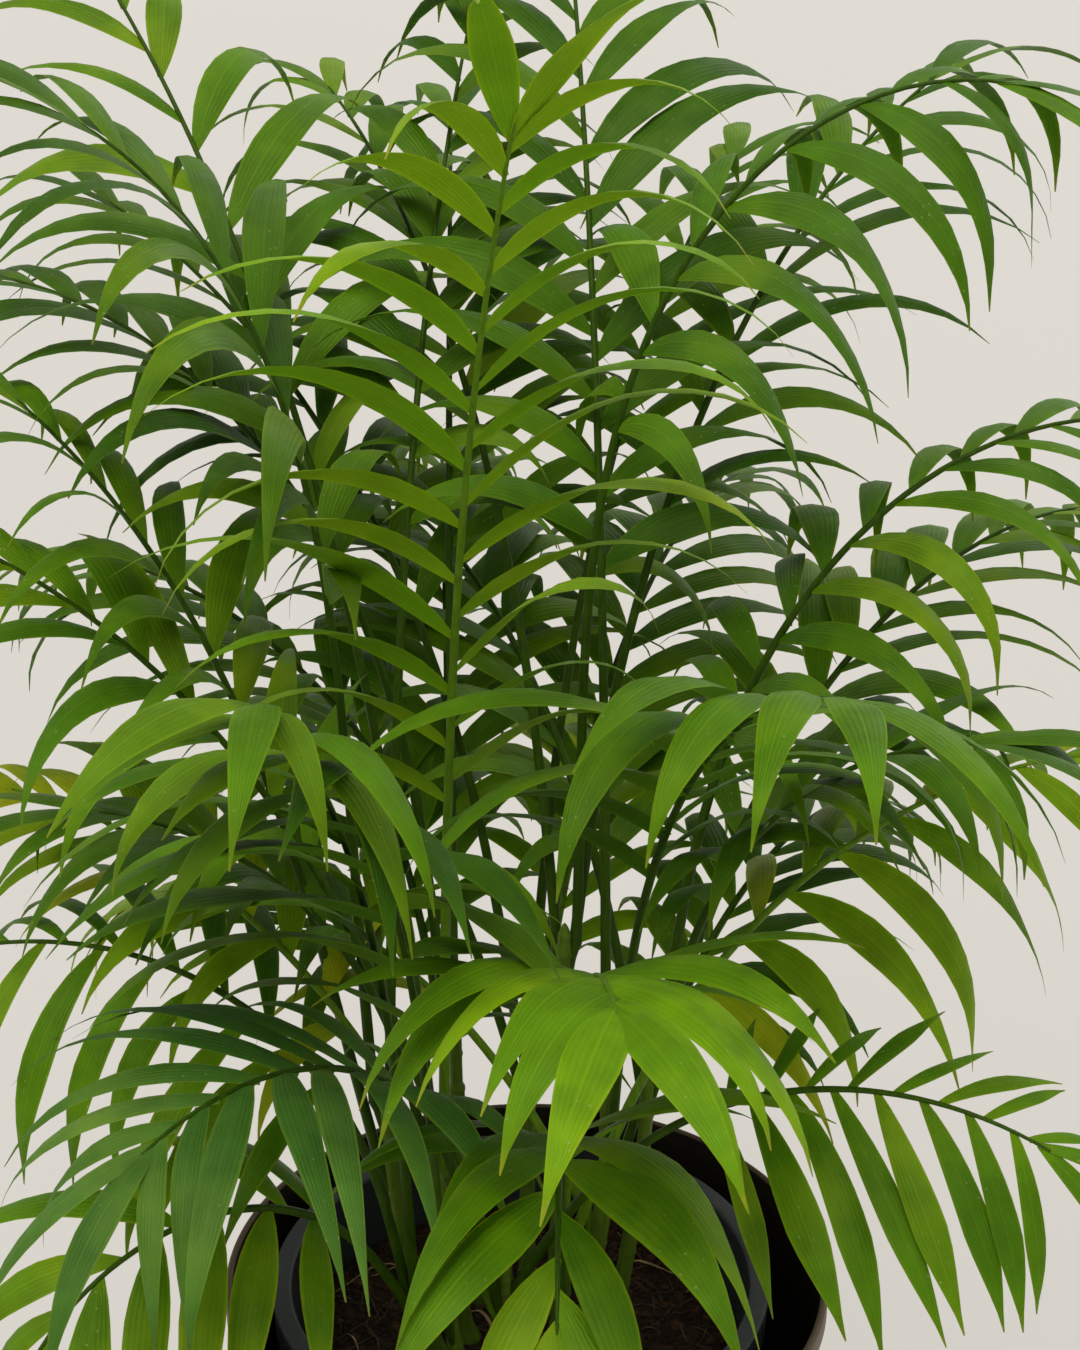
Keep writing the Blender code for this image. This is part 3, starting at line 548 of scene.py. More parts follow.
def caneBodies():
    bodies = []
    for index in range(len(canes)):
        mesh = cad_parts[f"cane_{index + 1}"].data
        points = [v.co.copy() for v in mesh.vertices]
        bodies.append((points, [tuple(p.vertices) for p in mesh.polygons]))
    return bodies


# Repeats the solids' choice of azimuth for every frond.
def placeRibs(rows, fixed):
    placed = []
    bodies = list(fixed)
    stations = rib["stations"]
    radii = [rib["footRadius"] + (rib["tipRadius"] - rib["footRadius"]) * k / (stations - 1)
             for k in range(stations)]
    for row in rows:
        tree = roomTree(bodies)
        for nudge in azimuthNudges:
            azimuth = row["azimuth"] + nudge
            points = ribCurve(row, azimuth, stations)
            room = tubeBody(points, [r + rib["clear"] for r in radii], rib["roomSides"])
            if not tree.overlap(roomTree([room])):
                seat = offCane(row, azimuth, rib["seatOffCane"]) - up * rib["seatDrop"]
                body = tubeBody([seat] + points, [rib["seatRadius"]] + radii, rib["sides"])
                placed.append((row, azimuth, body))
                bodies.append(body)
                break
    return placed


def atShare(points, share):
    place = min(max(share, 0.0), 1.0) * (len(points) - 1)
    low = min(int(place), len(points) - 2)
    return points[low].lerp(points[low + 1], place - low)


def tangentAt(points, share):
    step = 0.5 / (rib["stations"] - 1)
    return (atShare(points, share + step) - atShare(points, share - step)).normalized()


# A leaflet's share of the frond's longest, by its place along the blade.
span = dict(root=0.74, more=0.26, longest=0.35, loss=0.46, power=1.6)


def leafSpan(share):
    longest = span["longest"]
    if share < longest:
        return span["root"] + span["more"] * math.sin(share / longest * math.pi / 2)
    return 1.0 - span["loss"] * ((share - longest) / (1.0 - longest)) ** span["power"]


# Where the pairs stand, in shares of their spacing, and the two leaflets at the rib's end.
pairing = dict(start=0.15, stagger=0.38, endPlace=0.985, endLength=1.35)
# How far leaflets differ by chance, in degrees and shares.
chance = dict(sweep=6, lift=9, length=(0.88, 1.06), droop=(0.72, 1.18), endSweep=(-2, 3),
              endLength=(0.95, 1.05), endDroop=(0.55, 0.8), aside=20, roll=26,
              breadth=(0.84, 1.06), planSeed=100, waySeed=500)


# Where each leaflet springs and how it is set: the source's rule with more pairs.
def leafPlan(row, rng):
    plans = []
    look = lookOf(row)
    pairs = look["pairs"]
    blade = 1.0 - look["bare"]
    droop = leaf["droop"] * look["droop"]
    for k in range(pairs):
        along = (k + pairing["start"]) / pairs
        plainSweep = leaf["sweepFirst"] + (leaf["sweepLast"] - leaf["sweepFirst"]) * along
        plainLift = leaf["liftFirst"] + (leaf["liftLast"] - leaf["liftFirst"]) * along
        for side in (1.0, -1.0):
            stagger = 0.0 if side > 0 else pairing["stagger"] / pairs
            share = 1.0 if side > 0 else look["leftShare"]
            sweep = plainSweep + look["sweep"] + rng.uniform(-chance["sweep"], chance["sweep"])
            lift = plainLift + rng.uniform(-chance["lift"], chance["lift"])
            lift = lift - look["fall"] - look["tilt"] * side
            length = row["leaf"] * leafSpan(along) * share * rng.uniform(*chance["length"])
            plans.append((look["bare"] + blade * (along + stagger), side, sweep, lift, length,
                          droop * rng.uniform(*chance["droop"])))
    for side in (1.0, -1.0):
        sweep = leaf["sweepEnd"] + rng.uniform(*chance["endSweep"])
        lift = leaf["liftLast"] - look["fall"] - look["tilt"] * side
        length = row["leaf"] * leafSpan(1.0) * pairing["endLength"]
        length *= rng.uniform(*chance["endLength"])
        plans.append((pairing["endPlace"], side, sweep, lift, length,
                      droop * rng.uniform(*chance["endDroop"])))
    return plans


# Axis points of a leaflet with its width and upper directions at even steps.
def leafFrames(points, plan, tweak, bendSide, roll, phase, late):
    place, side, sweep, lift, length, droop = plan
    length *= tweak[2]
    droop += tweak[1]
    ahead = tangentAt(points, place)
    flat = Vector((ahead.x, ahead.y, 0.0)).normalized()
    across = Vector((flat.y, -flat.x, 0.0)) * side
    over = across.cross(ahead) * side
    sweep = math.radians(sweep + tweak[0])
    lift = math.radians(lift)
    out = aslant(ahead, aslant(across, over, lift), sweep).normalized()
    level = Vector((out.x, out.y, 0.0))
    level = level.normalized() if level.length > 0.02 else across.copy()
    first = math.asin(max(-1.0, min(1.0, out.z)))
    rootWidth = (ahead - out * ahead.dot(out)).normalized()
    levelWidth = level.cross(up)
    if levelWidth.dot(rootWidth) < 0:
        levelWidth = -levelWidth
    centre = atShare(points, place) - out * leaf["sink"]
    lastTop = over

    def headingAt(t):
        angle = first - math.radians(droop) * t ** late
        angle = max(angle, math.radians(leaf["steepest"]))
        aside = math.radians(bendSide) * t
        return aslant(aslant(level, levelWidth, aside), up, angle)

    frames = []
    for k in range(leaf["steps"] + 1):
        t = k / leaf["steps"]
        along = headingAt(t)
        width = rootWidth.lerp(levelWidth, min(1.0, leaf["twistStart"] + leaf["twist"] * t))
        width = (width - along * width.dot(along)).normalized()
        top = width.cross(along)
        if top.dot(lastTop) < 0:
            top = -top
        lastTop = top
        wave = leaf["wave"] * t * math.sin(math.tau * t * leaf["waveTurns"] + phase)
        turn = math.radians(roll * t + wave)
        frames.append((centre.copy(), aslant(width, top, turn), aslant(top, -width, turn)))
        centre = centre + headingAt((k + 0.5) / leaf["steps"]) * (length / leaf["steps"])
    return frames, length


# Half the blade's width: slender root, broadest before the middle, drawn-out point.
def leafHalf(t, length, breadth, fullRoot, broadest):
    most = min(leaf["widthMost"], length * leaf["widthShare"] + leaf["widthMore"]) / 2 * breadth
    root = max(leaf["rootWidth"] / 2, most * fullRoot)
    if t < broadest:
        return root + (most - root) * math.sin(t / broadest * math.pi / 2) ** leaf["swellPower"]
    first, second = leaf["pointPowers"]
    point = (1.0 - ((t - broadest) / (1.0 - broadest)) ** first) ** second
    return max(leaf["tipHalf"], most * point)


# The three-sided solid of a leaflet, grown by the room that it must have: stations and shares of
# the blade, its ridge, and what is kept clear.
bladeRoom = dict(stations=(0.30, 0.66), share=0.9, thickness=0.0010, rise=0.06, clear=0.0002)


def leafRoom(frames, length, breadth, broadest, grow):
    points = []
    for t in bladeRoom["stations"]:
        centre, width, top = frames[round(t * leaf["steps"])]
        half = leafHalf(t, length, breadth, 0.0, broadest) * bladeRoom["share"] + grow
        ridge = bladeRoom["thickness"] + half * bladeRoom["rise"] + grow
        points += [centre - width * half - top * grow, centre + width * half - top * grow,
                   centre + top * ridge]
    points += [frames[0][0], frames[-1][0]]
    faces = []
    for k in range(3):
        after = (k + 1) % 3
        faces += [(k, after, after + 3), (k, after + 3, k + 3)]
        faces += [(after, k, 6), (3 + k, 3 + after, 7)]
    return points, faces


# Leaflets frond by frond: each takes the first setting that clears everything else.
def growCrown(placed, fixed):
    crown = []
    others = list(fixed)
    for number, (row, azimuth, _) in enumerate(placed):
        rng = random.Random(chance["planSeed"] + number)
        ways = random.Random(chance["waySeed"] + number)
        points = ribCurve(row, azimuth, rib["fineStations"])
        tree = roomTree(others + [entry[2] for entry in placed if entry[0] is not row])
        look = lookOf(row)
        leaves = []
        for plan in leafPlan(row, rng):
            bendSide = ways.uniform(-chance["aside"], chance["aside"])
            roll = ways.uniform(-chance["roll"], chance["roll"])
            phase = ways.uniform(0, math.tau)
            breadth = look["breadth"] * ways.uniform(*chance["breadth"])
            tint = min(0.99, max(0.0, ways.random() + look["shade"]))
            for tweak in leafTries:
                frames, length = leafFrames(points, plan, tweak, bendSide, roll, phase,
                                            look["late"])
                if length < leaf["shortest"]:
                    break
                body = leafRoom(frames, length, breadth, look["broadest"],
                                bladeRoom["clear"])
                if not tree.overlap(roomTree([body])):
                    leaves.append((frames, length, breadth, tint))
                    break
        others.extend(leafRoom(frames, length, breadth, look["broadest"], 0.0)
                      for frames, length, breadth, tint in leaves)
        crown.append((row, azimuth, points, leaves))
    return crown


# Finishes.
# A soft satin blade: fine parallel veins, paler midrib and back, uneven yellow and faint dust.
def leafMaterial(name, colour, tipColour, tipShare, roughness):
    made, tree, shader = newMaterial(name, colour, roughness)
    uv = outOf(tree, "ShaderNodeUVMap", uv_map="UVMap")
    parts = addNode(tree, "ShaderNodeSeparateXYZ", {0: uv}).outputs
    place = objectCoordinates(tree)
    red, green, blue = colour
    lighter = (red * 1.45 + 0.006, green * 1.28 + 0.006, blue * 1.3)
    yellower = (red * 1.75 + 0.010, green * 1.18 + 0.010, blue)
    paler = (red * 1.25 + 0.014, green * 1.15 + 0.022, blue * 1.5 + 0.008)
    mottle = cloudNode(tree, place, 34.0, 0.34, 0.66)
    patches = cloudNode(tree, place, 17.0, 0.50, 0.74)
    waves = mathNode(tree, "SINE", mathNode(tree, "MULTIPLY", parts["X"], math.tau * 8))
    veins = rangeNode(tree, waves, 0.0, 1.0)
    fromMiddle = mathNode(tree, "ABSOLUTE", mathNode(tree, "SUBTRACT", parts["X"], 0.5))
    midrib = rangeNode(tree, fromMiddle, 0.030, 0.0)
    margin = rangeNode(tree, fromMiddle, 0.44, 0.50)
    under = addNode(tree, "ShaderNodeAttribute", attribute_name="upper").outputs["Fac"]
    back = rangeNode(tree, under, 0.05, -0.25)
    specks = outOf(tree, "ShaderNodeTexVoronoi", {"Vector": place, "Scale": 230.0}, feature="F1")
    dots = rangeNode(tree, specks, 0.16, 0.05)
    dusty = cloudNode(tree, place, 26.0, 0.46, 0.64, 0.0, 0.42)
    tip = rangeNode(tree, parts["Y"], 1.0 - tipShare, 1.0)
    torn = cloudNode(tree, place, 120.0, 0.3, 0.6)
    base = layered(tree, mixColour(tree, mottle, shaded(colour, 0.66), colour), (
        (patches, 0.60, yellower), (veins, 0.16, lighter), (midrib, 0.45, lighter),
        (margin, 0.30, yellower), (back, 0.40, paler), (dots, dusty, (0.36, 0.40, 0.16)),
        (tip, torn, tipColour)))
    dull = cloudNode(tree, place, 90.0, 0.3, 0.7, roughness - 0.06, roughness + 0.10)
    height = mathNode(tree, "MULTIPLY_ADD", waves, 0.55, noiseNode(tree, place, 110.0))
    feed(tree, shader, {
        "Base Color": base, "Roughness": dull, "Normal": bumpNode(tree, height, 0.40, 0.0003),
        "Specular IOR Level": 0.17, "Specular Tint": (0.9, 1.0, 0.5), "Subsurface Weight": 0.12,
        "Subsurface Radius": (0.6, 1.0, 0.05), "Subsurface Scale": 0.002})
    return made


# Smooth green cane and petiole with lengthwise streaks.
def stemMaterial(name, colour, ringColour):
    made, tree, shader = newMaterial(name, colour, 0.42)
    place = objectCoordinates(tree)
    stretched = outOf(tree, "ShaderNodeMapping", {"Vector": place, "Scale": (1.0, 1.0, 0.09)})
    streaks = cloudNode(tree, stretched, 420.0, 0.35, 0.7)
    blotch = cloudNode(tree, place, 60.0, 0.52, 0.75)
    base = mixColour(tree, streaks, shaded(colour, 0.66), colour)
    feed(tree, shader, {
        "Base Color": layered(tree, base, [(blotch, 0.5, ringColour)]),
        "Normal": bumpNode(tree, streaks, 0.3, 0.0003), "Specular IOR Level": 0.14,
        "Specular Tint": (0.9, 1.0, 0.5)})
    return made


# With a colour for the inside, faces that look to the object's middle take that: a painted shade
# for the shadow inside a pot.
def plasticMaterial(name, colour, roughness, grain, wear, inside=None):
    made, tree, shader = newMaterial(name, colour, roughness)
    place = objectCoordinates(tree)
    cloud = cloudNode(tree, place, 9.0, 0.3, 0.72)
    dust = cloudNode(tree, place, 55.0, 0.60, 0.82, detail=5.0)
    base = mixColour(tree, cloud, shaded(colour, 0.82), shaded(colour, 1.12))
    base = layered(tree, base, [(dust, wear, (0.20, 0.17, 0.13))])
    # Painted shade: faces turned towards the middle are darkened to the inside colour.
    if inside:
        normal = addNode(tree, "ShaderNodeNewGeometry").outputs["Normal"]
        outwards = addNode(tree, "ShaderNodeVectorMath", {0: normal, 1: place},
                           operation="DOT_PRODUCT").outputs["Value"]
        base = mixColour(tree, rangeNode(tree, outwards, 0.0, -0.03), base, inside)
    rough = cloudNode(tree, place, 26.0, 0.3, 0.7, roughness - 0.07, roughness + 0.08)
    fine = bumpNode(tree, noiseNode(tree, place, 900.0, 2.0), grain, 0.0002)
    feed(tree, shader, {"Base Color": base, "Roughness": rough, "Normal": fine,
                        "Specular IOR Level": 0.3})
    return made


def soilMaterial(name, dark, light):
    made, tree, shader = newMaterial(name, dark, 0.95)
    place = objectCoordinates(tree)
    cloud = cloudNode(tree, place, 70.0, 0.36, 0.68, detail=6.0, grain=0.7)
    grit = cloudNode(tree, place, 520.0, 0.40, 0.75, detail=4.0, grain=0.7)
    base = layered(tree, mixColour(tree, cloud, dark, light), [(grit, 0.6, shaded(light, 1.9))])
    lumps = bumpNode(tree, noiseNode(tree, place, 420.0, 6.0, 0.75), 0.8, 0.0014)
    feed(tree, shader, {"Base Color": base, "Normal": lumps, "Specular IOR Level": 0.15})
    return made


def fibreMaterial(name, colour):
    made, tree, shader = newMaterial(name, colour, 0.8)
    place = objectCoordinates(tree)
    tone = cloudNode(tree, place, 160.0, 0.3, 0.7)
    base = mixColour(tree, tone, shaded(colour, 0.5), shaded(colour, 1.4))
    fine = bumpNode(tree, noiseNode(tree, place, 700.0), 0.5, 0.0002)
    feed(tree, shader, {"Base Color": base, "Normal": fine})
    return made


# Pots and soil. Edges of a turned piece that bend by more degrees than this stay sharp.
sharpBend = 38


def arc(middle, radius, first, last, count):
    angles = [math.radians(first + (last - first) * k / (count - 1)) for k in range(count)]
    return [(middle[0] + radius * math.cos(a), middle[1] + radius * math.sin(a)) for a in angles]


# A Screw round +Z of the (radius, height) profile, made a plain mesh in its place.
def turnedPiece(name, profile, steps, material, offset=(0.0, 0.0)):
    points = [(radius, 0.0, height) for radius, height in profile]
    obj = meshObject(name, points, [(k, k + 1) for k in range(len(points) - 1)], [])
    setAll(obj.modifiers.new("turn", "SCREW"), axis="Z", angle=math.tau, steps=steps,
           render_steps=steps, use_merge_vertices=True, merge_threshold=0.00001)
    plainMesh(obj, name)
    for vertex in obj.data.vertices:
        vertex.co.x += offset[0]
        vertex.co.y += offset[1]
    finished(obj, material)
    obj.data.set_sharp_from_angle(angle=math.radians(sharpBend))
    return obj


def outerPotPiece(material):
    pot = outerPot
    rim = pot["rimRadius"]
    lip = pot["wall"] / 2
    foot = pot["baseRadius"] + pot["flare"]
    innerFoot = foot - pot["wall"] + pot["flare"] - pot["innerRound"]
    band = pot["height"] - pot["rimBand"]
    ring = pot["baseRadius"] - pot["footRing"]
    profile = [(0.0, pot["floor"]), (innerFoot, pot["floor"])]
    profile += arc((innerFoot, pot["floor"] + pot["innerRound"]), pot["innerRound"], -90, 0, 7)[1:]
    profile += [(rim - pot["wall"] - 0.0006, band - 0.004), (rim - pot["wall"], band)]
    profile += arc((rim - lip, pot["height"] - lip), lip, 180, 0, 11)
    profile += [(rim, band), (rim - pot["bandStep"], band - 0.003), (foot, 0.004)]
    profile += arc((foot - pot["footRound"], pot["footRound"]), pot["footRound"], 0, -90, 7)
    profile += [(ring, 0.0), (ring - 0.002, pot["footHollow"]), (0.0, pot["footHollow"])]
    return turnedPiece("outerPotShell", profile, pot["fineSides"], material)


def nurseryPotPiece(material):
    pot = nurseryPot
    wallTop = pot["rimRadius"] - pot["rimStep"]
    band = pot["top"] - pot["rimDepth"]
    share = (band - pot["bottom"]) / (pot["top"] - pot["bottom"])
    wallAtBand = pot["baseRadius"] + (wallTop - pot["baseRadius"]) * share
    inner = wallTop - pot["wall"]
    profile = [(0.0, pot["floor"]), (pot["baseRadius"] - pot["wall"], pot["floor"]),
               (inner - 0.0022, pot["top"] - 0.030), (inner - 0.0004, pot["top"] - 0.006)]
    lip, edge, foot, rim = pot["lipRound"], pot["edgeRound"], pot["footRound"], pot["rimRadius"]
    profile += arc((inner - 0.0004 + lip, pot["top"] - lip), lip, 180, 90, 6)
    profile += arc((rim - edge, pot["top"] - edge), edge, 90, 0, 6)
    profile += [(rim - 0.0006, pot["top"] - 0.009), (rim - 0.0012, band),
                (wallAtBand + 0.0006, band - 0.0026), (wallAtBand, band - 0.006),
                (pot["baseRadius"], pot["bottom"] + foot),
                (pot["baseRadius"] - foot, pot["bottom"]), (0.0, pot["bottom"])]
    return turnedPiece("nurseryPotShell", profile, pot["fineSides"], material, pot["offset"])


# Height of the lumpy bed, which lies a little lower at the wall.
def soilHeight(x, y):
    here = Vector((x * 34.0, y * 34.0, 2.7))
    fine = Vector((x * 120.0, y * 120.0, 8.1))
    lumps = noise.fractal(here, 0.9, 2.1, 4) * 0.6 + noise.fractal(fine, 0.8, 2.2, 3) * 0.25
    middle = math.hypot(x - nurseryPot["offset"][0], y - nurseryPot["offset"][1]) / soil["reach"]
    lumps = max(soil["lowest"], min(soil["highest"], lumps))
    return soil["top"] - soil["settled"] - soil["dip"] * middle ** 4 + soil["bump"] * lumps


# Points on the bed from its middle out to the reach, ring by ring, and the faces between rings.
def discPoints(reach, rings, spokes):
    middle = nurseryPot["offset"]
    points = [(middle[0], middle[1], soilHeight(*middle))]
    for ring in range(1, rings + 1):
        places = ringPlaces(reach * ring / rings, spokes, middle)
        points += [(x, y, soilHeight(x, y)) for x, y in places]
    return points


def discFaces(rings, spokes):
    faces = []
    for k in range(spokes):
        after = (k + 1) % spokes
        faces.append((0, 1 + k, 1 + after))
        for ring in range(rings - 1):
            a = 1 + ring * spokes + k
            b = 1 + ring * spokes + after
            faces.append((a, a + spokes, b + spokes, b))
    return faces


def soilPiece(material):
    rings, spokes, middle = soil["rings"], soil["spokes"], nurseryPot["offset"]
    footRadius = nurseryPot["baseRadius"] - nurseryPot["wall"] - 0.001
    points = discPoints(soil["reach"], rings, spokes)
    points += [(x, y, soil["bottom"]) for x, y in ringPlaces(footRadius, spokes, middle)]
    points.append((middle[0], middle[1], soil["bottom"]))
    low = 1 + rings * spokes
    faces = discFaces(rings + 1, spokes)
    faces += [(low + k, len(points) - 1, low + (k + 1) % spokes) for k in range(spokes)]
    return finished(meshObject("soilBed", points, [], faces), material)


# Lumps strewn over the bed: how many, how big, how flat, and the share of its reach they cover.
crumbs = dict(count=3400, size=0.0017, flatness=0.8, share=0.985)
chips = dict(count=520, size=0.0030, flatness=0.35, share=0.96)


def soilSurface(name, share):
    rings, spokes = soil["strewnRings"], soil["strewnSpokes"]
    points = discPoints(soil["reach"] * share, rings, spokes)
    return meshObject(name, points, [], discFaces(rings, spokes))


def strewnPiece(name, kind, seed, material):
    area = math.pi * soil["reach"] ** 2
    obj = runTree(soilSurface(name, kind["share"]), strew, name, density=kind["count"] / area,
                  size=kind["size"], flatness=kind["flatness"], seed=seed, finish=material)
    obj.data.shade_smooth()
    return obj


# Curved bits that lie on the soil: count, seed, lengths, half thicknesses, how high they hump.
fibres = dict(count=190, seed=21, lengths=(0.010, 0.038), halves=(0.0002, 0.0005), hump=0.0025)
straws = dict(count=16, seed=35, lengths=(0.018, 0.045), halves=(0.0005, 0.0011), hump=0.004)
bit = dict(steps=9, spread=0.93, turn=1.6, thinEnd=0.35)


def strewnStrips(kind):
    rng = random.Random(kind["seed"])
    middle = nurseryPot["offset"]
    steps = bit["steps"]
    strips = []
    while len(strips) < kind["count"]:
        far = soil["reach"] * bit["spread"] * math.sqrt(rng.random())
        way = rng.uniform(0, math.tau)
        x = middle[0] + far * math.cos(way)
        y = middle[1] + far * math.sin(way)
        length = rng.uniform(*kind["lengths"])
        turn = rng.uniform(-bit["turn"], bit["turn"])
        heading = rng.uniform(0, math.tau)
        hump = rng.uniform(0.0, kind["hump"])
        thickness = rng.uniform(*kind["halves"])
        points = []
        halves = []
        for k in range(steps):
            t = k / (steps - 1)
            z = soilHeight(x, y) + thickness * 0.6 + hump * math.sin(math.pi * t)
            points.append(Vector((x, y, z)))
            x += math.cos(heading + turn * t) * length / steps
            y += math.sin(heading + turn * t) * length / steps
            swell = math.sin(math.pi * min(0.97, max(0.03, t)))
            halves.append(thickness * (bit["thinEnd"] + (1.0 - bit["thinEnd"]) * swell))
        reach = max(math.hypot(p.x - middle[0], p.y - middle[1]) for p in points)
        if reach <= soil["reach"] * soil["edge"]:
            strips.append((points, [up] * steps, halves))
    return strips


# The old root and dry bits that show in front of the canes: ends on the soil, how far aside
# and up they bow, half thickness.
fallen = (
    ((-0.098, 0.038), (-0.050, 0.045), 0.016, 0.0030, 0.0006),
    ((-0.029, 0.021), (-0.013, -0.010), 0.004, 0.0060, 0.0010),
    ((-0.016, 0.061), (-0.011, 0.037), -0.003, 0.0050, 0.0007),
    ((0.052, 0.050), (0.036, 0.032), 0.005, 0.0040, 0.0007),
)
fallenSteps = 15


def fallenStrips():
    strips = []
    for first, last, aside, high, half in fallen:
        points = []
        for k in range(fallenSteps):
            t = k / (fallenSteps - 1)
            bow = math.sin(math.pi * t)
            x = first[0] + (last[0] - first[0]) * t
            y = first[1] + (last[1] - first[1]) * t + aside * bow
            points.append(Vector((x, y, soilHeight(x, y) + half + high * bow)))
        halves = [half * (0.4 + 0.6 * math.sin(math.pi * (0.06 + 0.88 * k / (fallenSteps - 1))))
                  for k in range(fallenSteps)]
        strips.append((points, [up] * fallenSteps, halves))
    return strips


# Canes, ribs and leaflets.
# Cane axes with ring scars, and a clasping sheath under every frond's foot.
def caneStrips(crown):
    strips = []
    for index in range(len(canes)):
        height = canes[index][2] - soil["top"]
        steps = int((height + cane["rootDepth"]) / cane["fineStep"])
        feet = [height - entry[0]["drop"] for entry in crown if entry[0]["cane"] == index]
        points = []
        halves = []
        for k in range(steps + 1):
            z = -cane["rootDepth"] + (height + cane["rootDepth"]) * k / steps
            share = max(0.0, z / height)
            point = canePoint(index, share)
            point.z += min(0.0, z)
            radius = caneRadius(index, share) * cane["skin"]
            nearest = (z + cane["ringShift"] * index) % cane["ringSpacing"]
            nearest = min(nearest, cane["ringSpacing"] - nearest)
            radius += cane["ringSwell"] * math.exp(-(nearest / cane["ringWidth"]) ** 2)
            for foot in feet:
                below = foot + cane["sheathOver"] - z
                if 0.0 <= below < cane["sheathLength"]:
                    radius += cane["sheathSwell"] * (1.0 - below / cane["sheathLength"])
            intoTip = max(0.0, (z - height) / cane["tipRound"] + 1.0)
            points.append(point)
            halves.append(radius * (1.0 - cane["tipLoss"] * intoTip ** 2))
        strips.append((points, [Vector((1.0, 0.0, 0.0))] * len(points), halves))
    return strips


# Petiole and rachis in one, rising out of the cane's side.
def ribStrips(crown, colours):
    strips = []
    for row, azimuth, fine, _ in crown:
        if row["colour"] not in colours:
            continue
        heading = headingOf(azimuth)
        index = row["cane"]
        height = canes[index][2] - soil["top"]
        points = []
        halves = []
        for below, out, half in rib["leadIn"]:
            share = max(0.0, 1.0 - (row["drop"] + below) / height)
            points.append(canePoint(index, share) + heading * (caneRadius(index, share) * out))
            halves.append(half)
        for k, point in enumerate(fine):
            nearCane = max(0.0, 1.0 - k / rib["hugStations"])
            points.append(point - heading * rib["hug"] * nearCane)
            thick = (1.0 - k / (len(fine) - 1)) ** rib["finePower"]
            halves.append(rib["fineTip"] + (rib["fineFoot"] - rib["fineTip"]) * thick)
        side = Vector((-heading.y, heading.x, 0.0))
        strips.append((points, [side] * len(points), halves))
    return strips


def leafStrips(crown, skin, lowTint, highTint):
    strips = []
    for row, _, _, leaves in crown:
        look = lookOf(row)
        if look["skin"] != skin:
            continue
        for frames, length, breadth, tint in leaves:
            if not lowTint <= tint < highTint:
                continue
            halves = [leafHalf(k / leaf["steps"], length, breadth, look["root"], look["broadest"])
                      for k in range(leaf["steps"] + 1)]
            strips.append(([f[0] for f in frames], [f[2] for f in frames], halves))
    return strips


# Leaf skins: a slot name for each, three plain tints in linear light, and how dry the tips are.
leafSkins = {
    "lime": dict(slot="leaf_lime",
                 tints=((0.112, 0.258, 0.003), (0.146, 0.315, 0.003), (0.190, 0.345, 0.004)),
                 tip=(0.30, 0.27, 0.02), tipShare=0.10, roughness=0.50),
    "mid": dict(slot="leaf_mid",
                tints=((0.058, 0.155, 0.002), (0.080, 0.194, 0.002), (0.110, 0.225, 0.003)),
                tip=(0.16, 0.20, 0.01), tipShare=0.06, roughness=0.48),
    "deep": dict(slot="leaf_deep",
                 tints=((0.035, 0.106, 0.002), (0.053, 0.140, 0.002), (0.074, 0.170, 0.003)),
                 tip=(0.09, 0.13, 0.02), tipShare=0.05, roughness=0.46),
    "olive": dict(slot="leaf_olive",
                  tints=((0.112, 0.240, 0.002), (0.165, 0.305, 0.003), (0.270, 0.350, 0.004)),
                  tip=(0.22, 0.12, 0.03), tipShare=0.09, roughness=0.50),
    "blue": dict(slot="leaf_deep",
                 tints=((0.040, 0.122, 0.014), (0.056, 0.155, 0.019), (0.080, 0.190, 0.026)),
                 tip=(0.10, 0.13, 0.03), tipShare=0.05, roughness=0.50),
}
tintBounds = ((0.0, 0.34), (0.34, 0.78), (0.78, 1.01))

sweep = sweepTree()
strew = scatterTree()


def sweptPiece(name, strips, slotName, nodes=(), **values):
    return declare(runTree(stripObject(name, strips), sweep, name, **values), nodes)


# Brown plastic outside; the near-black inside colour is painted shade for the shadowed inner wall.
potBrown = plasticMaterial("potBrownPlastic", (0.088, 0.054, 0.026), 0.50, 0.25, 0.20,
                           inside=(0.012, 0.008, 0.005))
nurseryGrey = plasticMaterial("nurseryGreyPlastic", (0.027, 0.032, 0.034), 0.50, 0.35, 0.25)
soilDark = soilMaterial("pottingSoil", (0.010, 0.006, 0.004), (0.034, 0.019, 0.011))
chipBrown = soilMaterial("barkChips", (0.026, 0.013, 0.007), (0.070, 0.034, 0.017))
fibreBrown = fibreMaterial("soilFibres", (0.075, 0.040, 0.018))
strawPale = fibreMaterial("dryStraws", (0.30, 0.19, 0.085))
stemGreen = stemMaterial("caneSkin", (0.110, 0.190, 0.016), (0.160, 0.190, 0.040))
ribPale = stemMaterial("palePetioleSkin", (0.125, 0.250, 0.010), (0.165, 0.250, 0.018))
ribDark = stemMaterial("darkPetioleSkin", (0.034, 0.082, 0.003), (0.062, 0.120, 0.005))

declare(outerPotPiece(potBrown), ["outer_pot"])
declare(nurseryPotPiece(nurseryGrey), ["nursery_pot"])
declare(soilPiece(soilDark), ["soil"])
declare(strewnPiece("soilCrumbs", crumbs, soil["seed"], soilDark))
declare(strewnPiece("barkChips", chips, soil["seed"] + 1, chipBrown))
sweptPiece("soilFibres", strewnStrips(fibres), "soil_dark", sectionSides=5, thickness=0.8,
           fold=0.0, finish=fibreBrown)
sweptPiece("dryStraws", strewnStrips(straws) + fallenStrips(), "soil_dark", sectionSides=6,
           thickness=0.35, fold=0.15, finish=strawPale)
print("pots and soil made")

fixed = potWalls() + caneBodies()
placed = placeRibs(frondRows(), fixed)
crown = growCrown(placed, fixed)
print("crown grown:", len(crown), "fronds,", sum(len(entry[3]) for entry in crown), "leaflets")

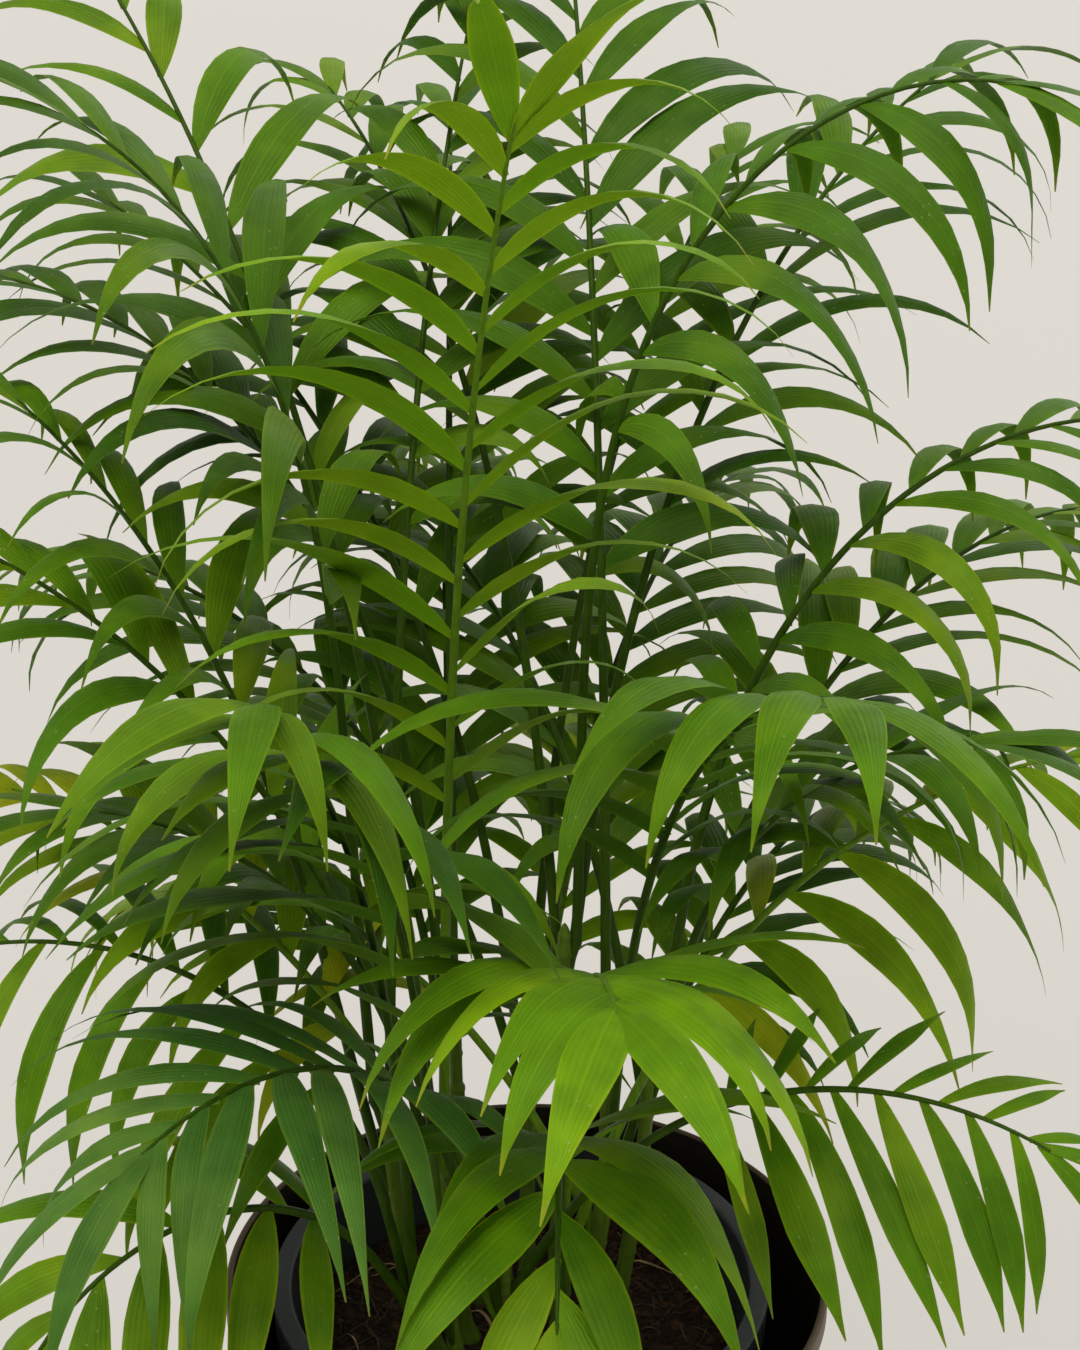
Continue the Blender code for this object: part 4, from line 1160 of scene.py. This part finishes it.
caneNodes = [f"cane_{k + 1}" for k in range(len(canes))]
sweptPiece("caneSkins", caneStrips(crown), "cane_green", caneNodes, sectionSides=cane["sides"],
           thickness=1.0, fold=0.0, finish=stemGreen)
ribKinds = (("paleRibs", ("lime", "olive"), ribPale), ("darkRibs", ("mid", "deep"), ribDark))
for name, colours, skin in ribKinds:
    sweptPiece(name, ribStrips(crown, colours), "cane_green", sectionSides=rib["fineSides"],
               thickness=1.0, fold=0.0, finish=skin)
print("canes and ribs swept")

for skin, shade in leafSkins.items():
    rows = [entry[0] for entry in crown if lookOf(entry[0])["skin"] == skin]
    nodes = ["frond_" + row["name"] for row in rows]
    for number, (lowTint, highTint) in enumerate(tintBounds):
        name = f"{skin}Leaflets{number + 1}"
        material = leafMaterial(name, shade["tints"][number], shade["tip"], shade["tipShare"],
                                shade["roughness"])
        blades = sweptPiece(name, leafStrips(crown, skin, lowTint, highTint), shade["slot"], nodes,
                            sectionSides=leaf["sectionSides"], thickness=leaf["thickness"],
                            fold=leaf["fold"], finish=material)
        blades.data.set_sharp_from_angle(angle=math.radians(leaf["sharpMargin"]))
        print(name, len(blades.data.polygons), "faces")

# Studio: a floor that glows like the photo's plain backdrop, two soft suns and even air.
floor = dict(reach=30.0, below=-0.0005, colour=(0.10, 0.096, 0.089), roughness=0.9,
             glow=(1.0, 0.958, 0.876), glowStrength=0.565)
air = {"Color": (0.96, 0.94, 0.89), "Strength": 0.56}
suns = {
    "keyLight": dict(strength=2.1, tilt=26, turn=-24, spread=50, colour=(1.0, 0.98, 0.93)),
    "fillLight": dict(strength=0.55, tilt=55, turn=140, spread=60, colour=(0.96, 0.98, 1.0)),
}
view = dict(place=(0.0064, -0.8966, 0.911), tilt=69.0, lens=58.67, sensor=36.0, near=0.02)

corners = [(x * floor["reach"], y * floor["reach"], floor["below"])
           for x, y in ((-1, -1), (1, -1), (1, 1), (-1, 1))]
ground = meshObject("studioFloor", corners, [], [(0, 1, 2, 3)])
floorPaint, tree, shader = newMaterial("floorPaint", floor["colour"], floor["roughness"])
feed(tree, shader, {"Emission Color": floor["glow"], "Emission Strength": floor["glowStrength"]})
ground.data.materials.append(floorPaint)

for name, sun in suns.items():
    light = setAll(bpy.data.lights.new(name, "SUN"), energy=sun["strength"],
                   angle=math.radians(sun["spread"]), color=sun["colour"])
    lamp = linkedObject(name, light)
    lamp.rotation_euler = (math.radians(sun["tilt"]), 0.0, math.radians(sun["turn"]))

world = bpy.data.worlds.new("studioAir")
world.use_nodes = True
feed(world.node_tree, world.node_tree.nodes["Background"], air)
bpy.context.scene.world = world
bpy.context.scene.view_settings.view_transform = "Standard"

lens = setAll(bpy.data.cameras.new("photoCamera"), sensor_width=view["sensor"],
              sensor_fit="AUTO", lens=view["lens"], clip_start=view["near"])
camera = linkedObject("photoCamera", lens)
camera.location = view["place"]
camera.rotation_euler = (math.radians(view["tilt"]), 0.0, 0.0)
bpy.context.scene.camera = camera

print("studio set")
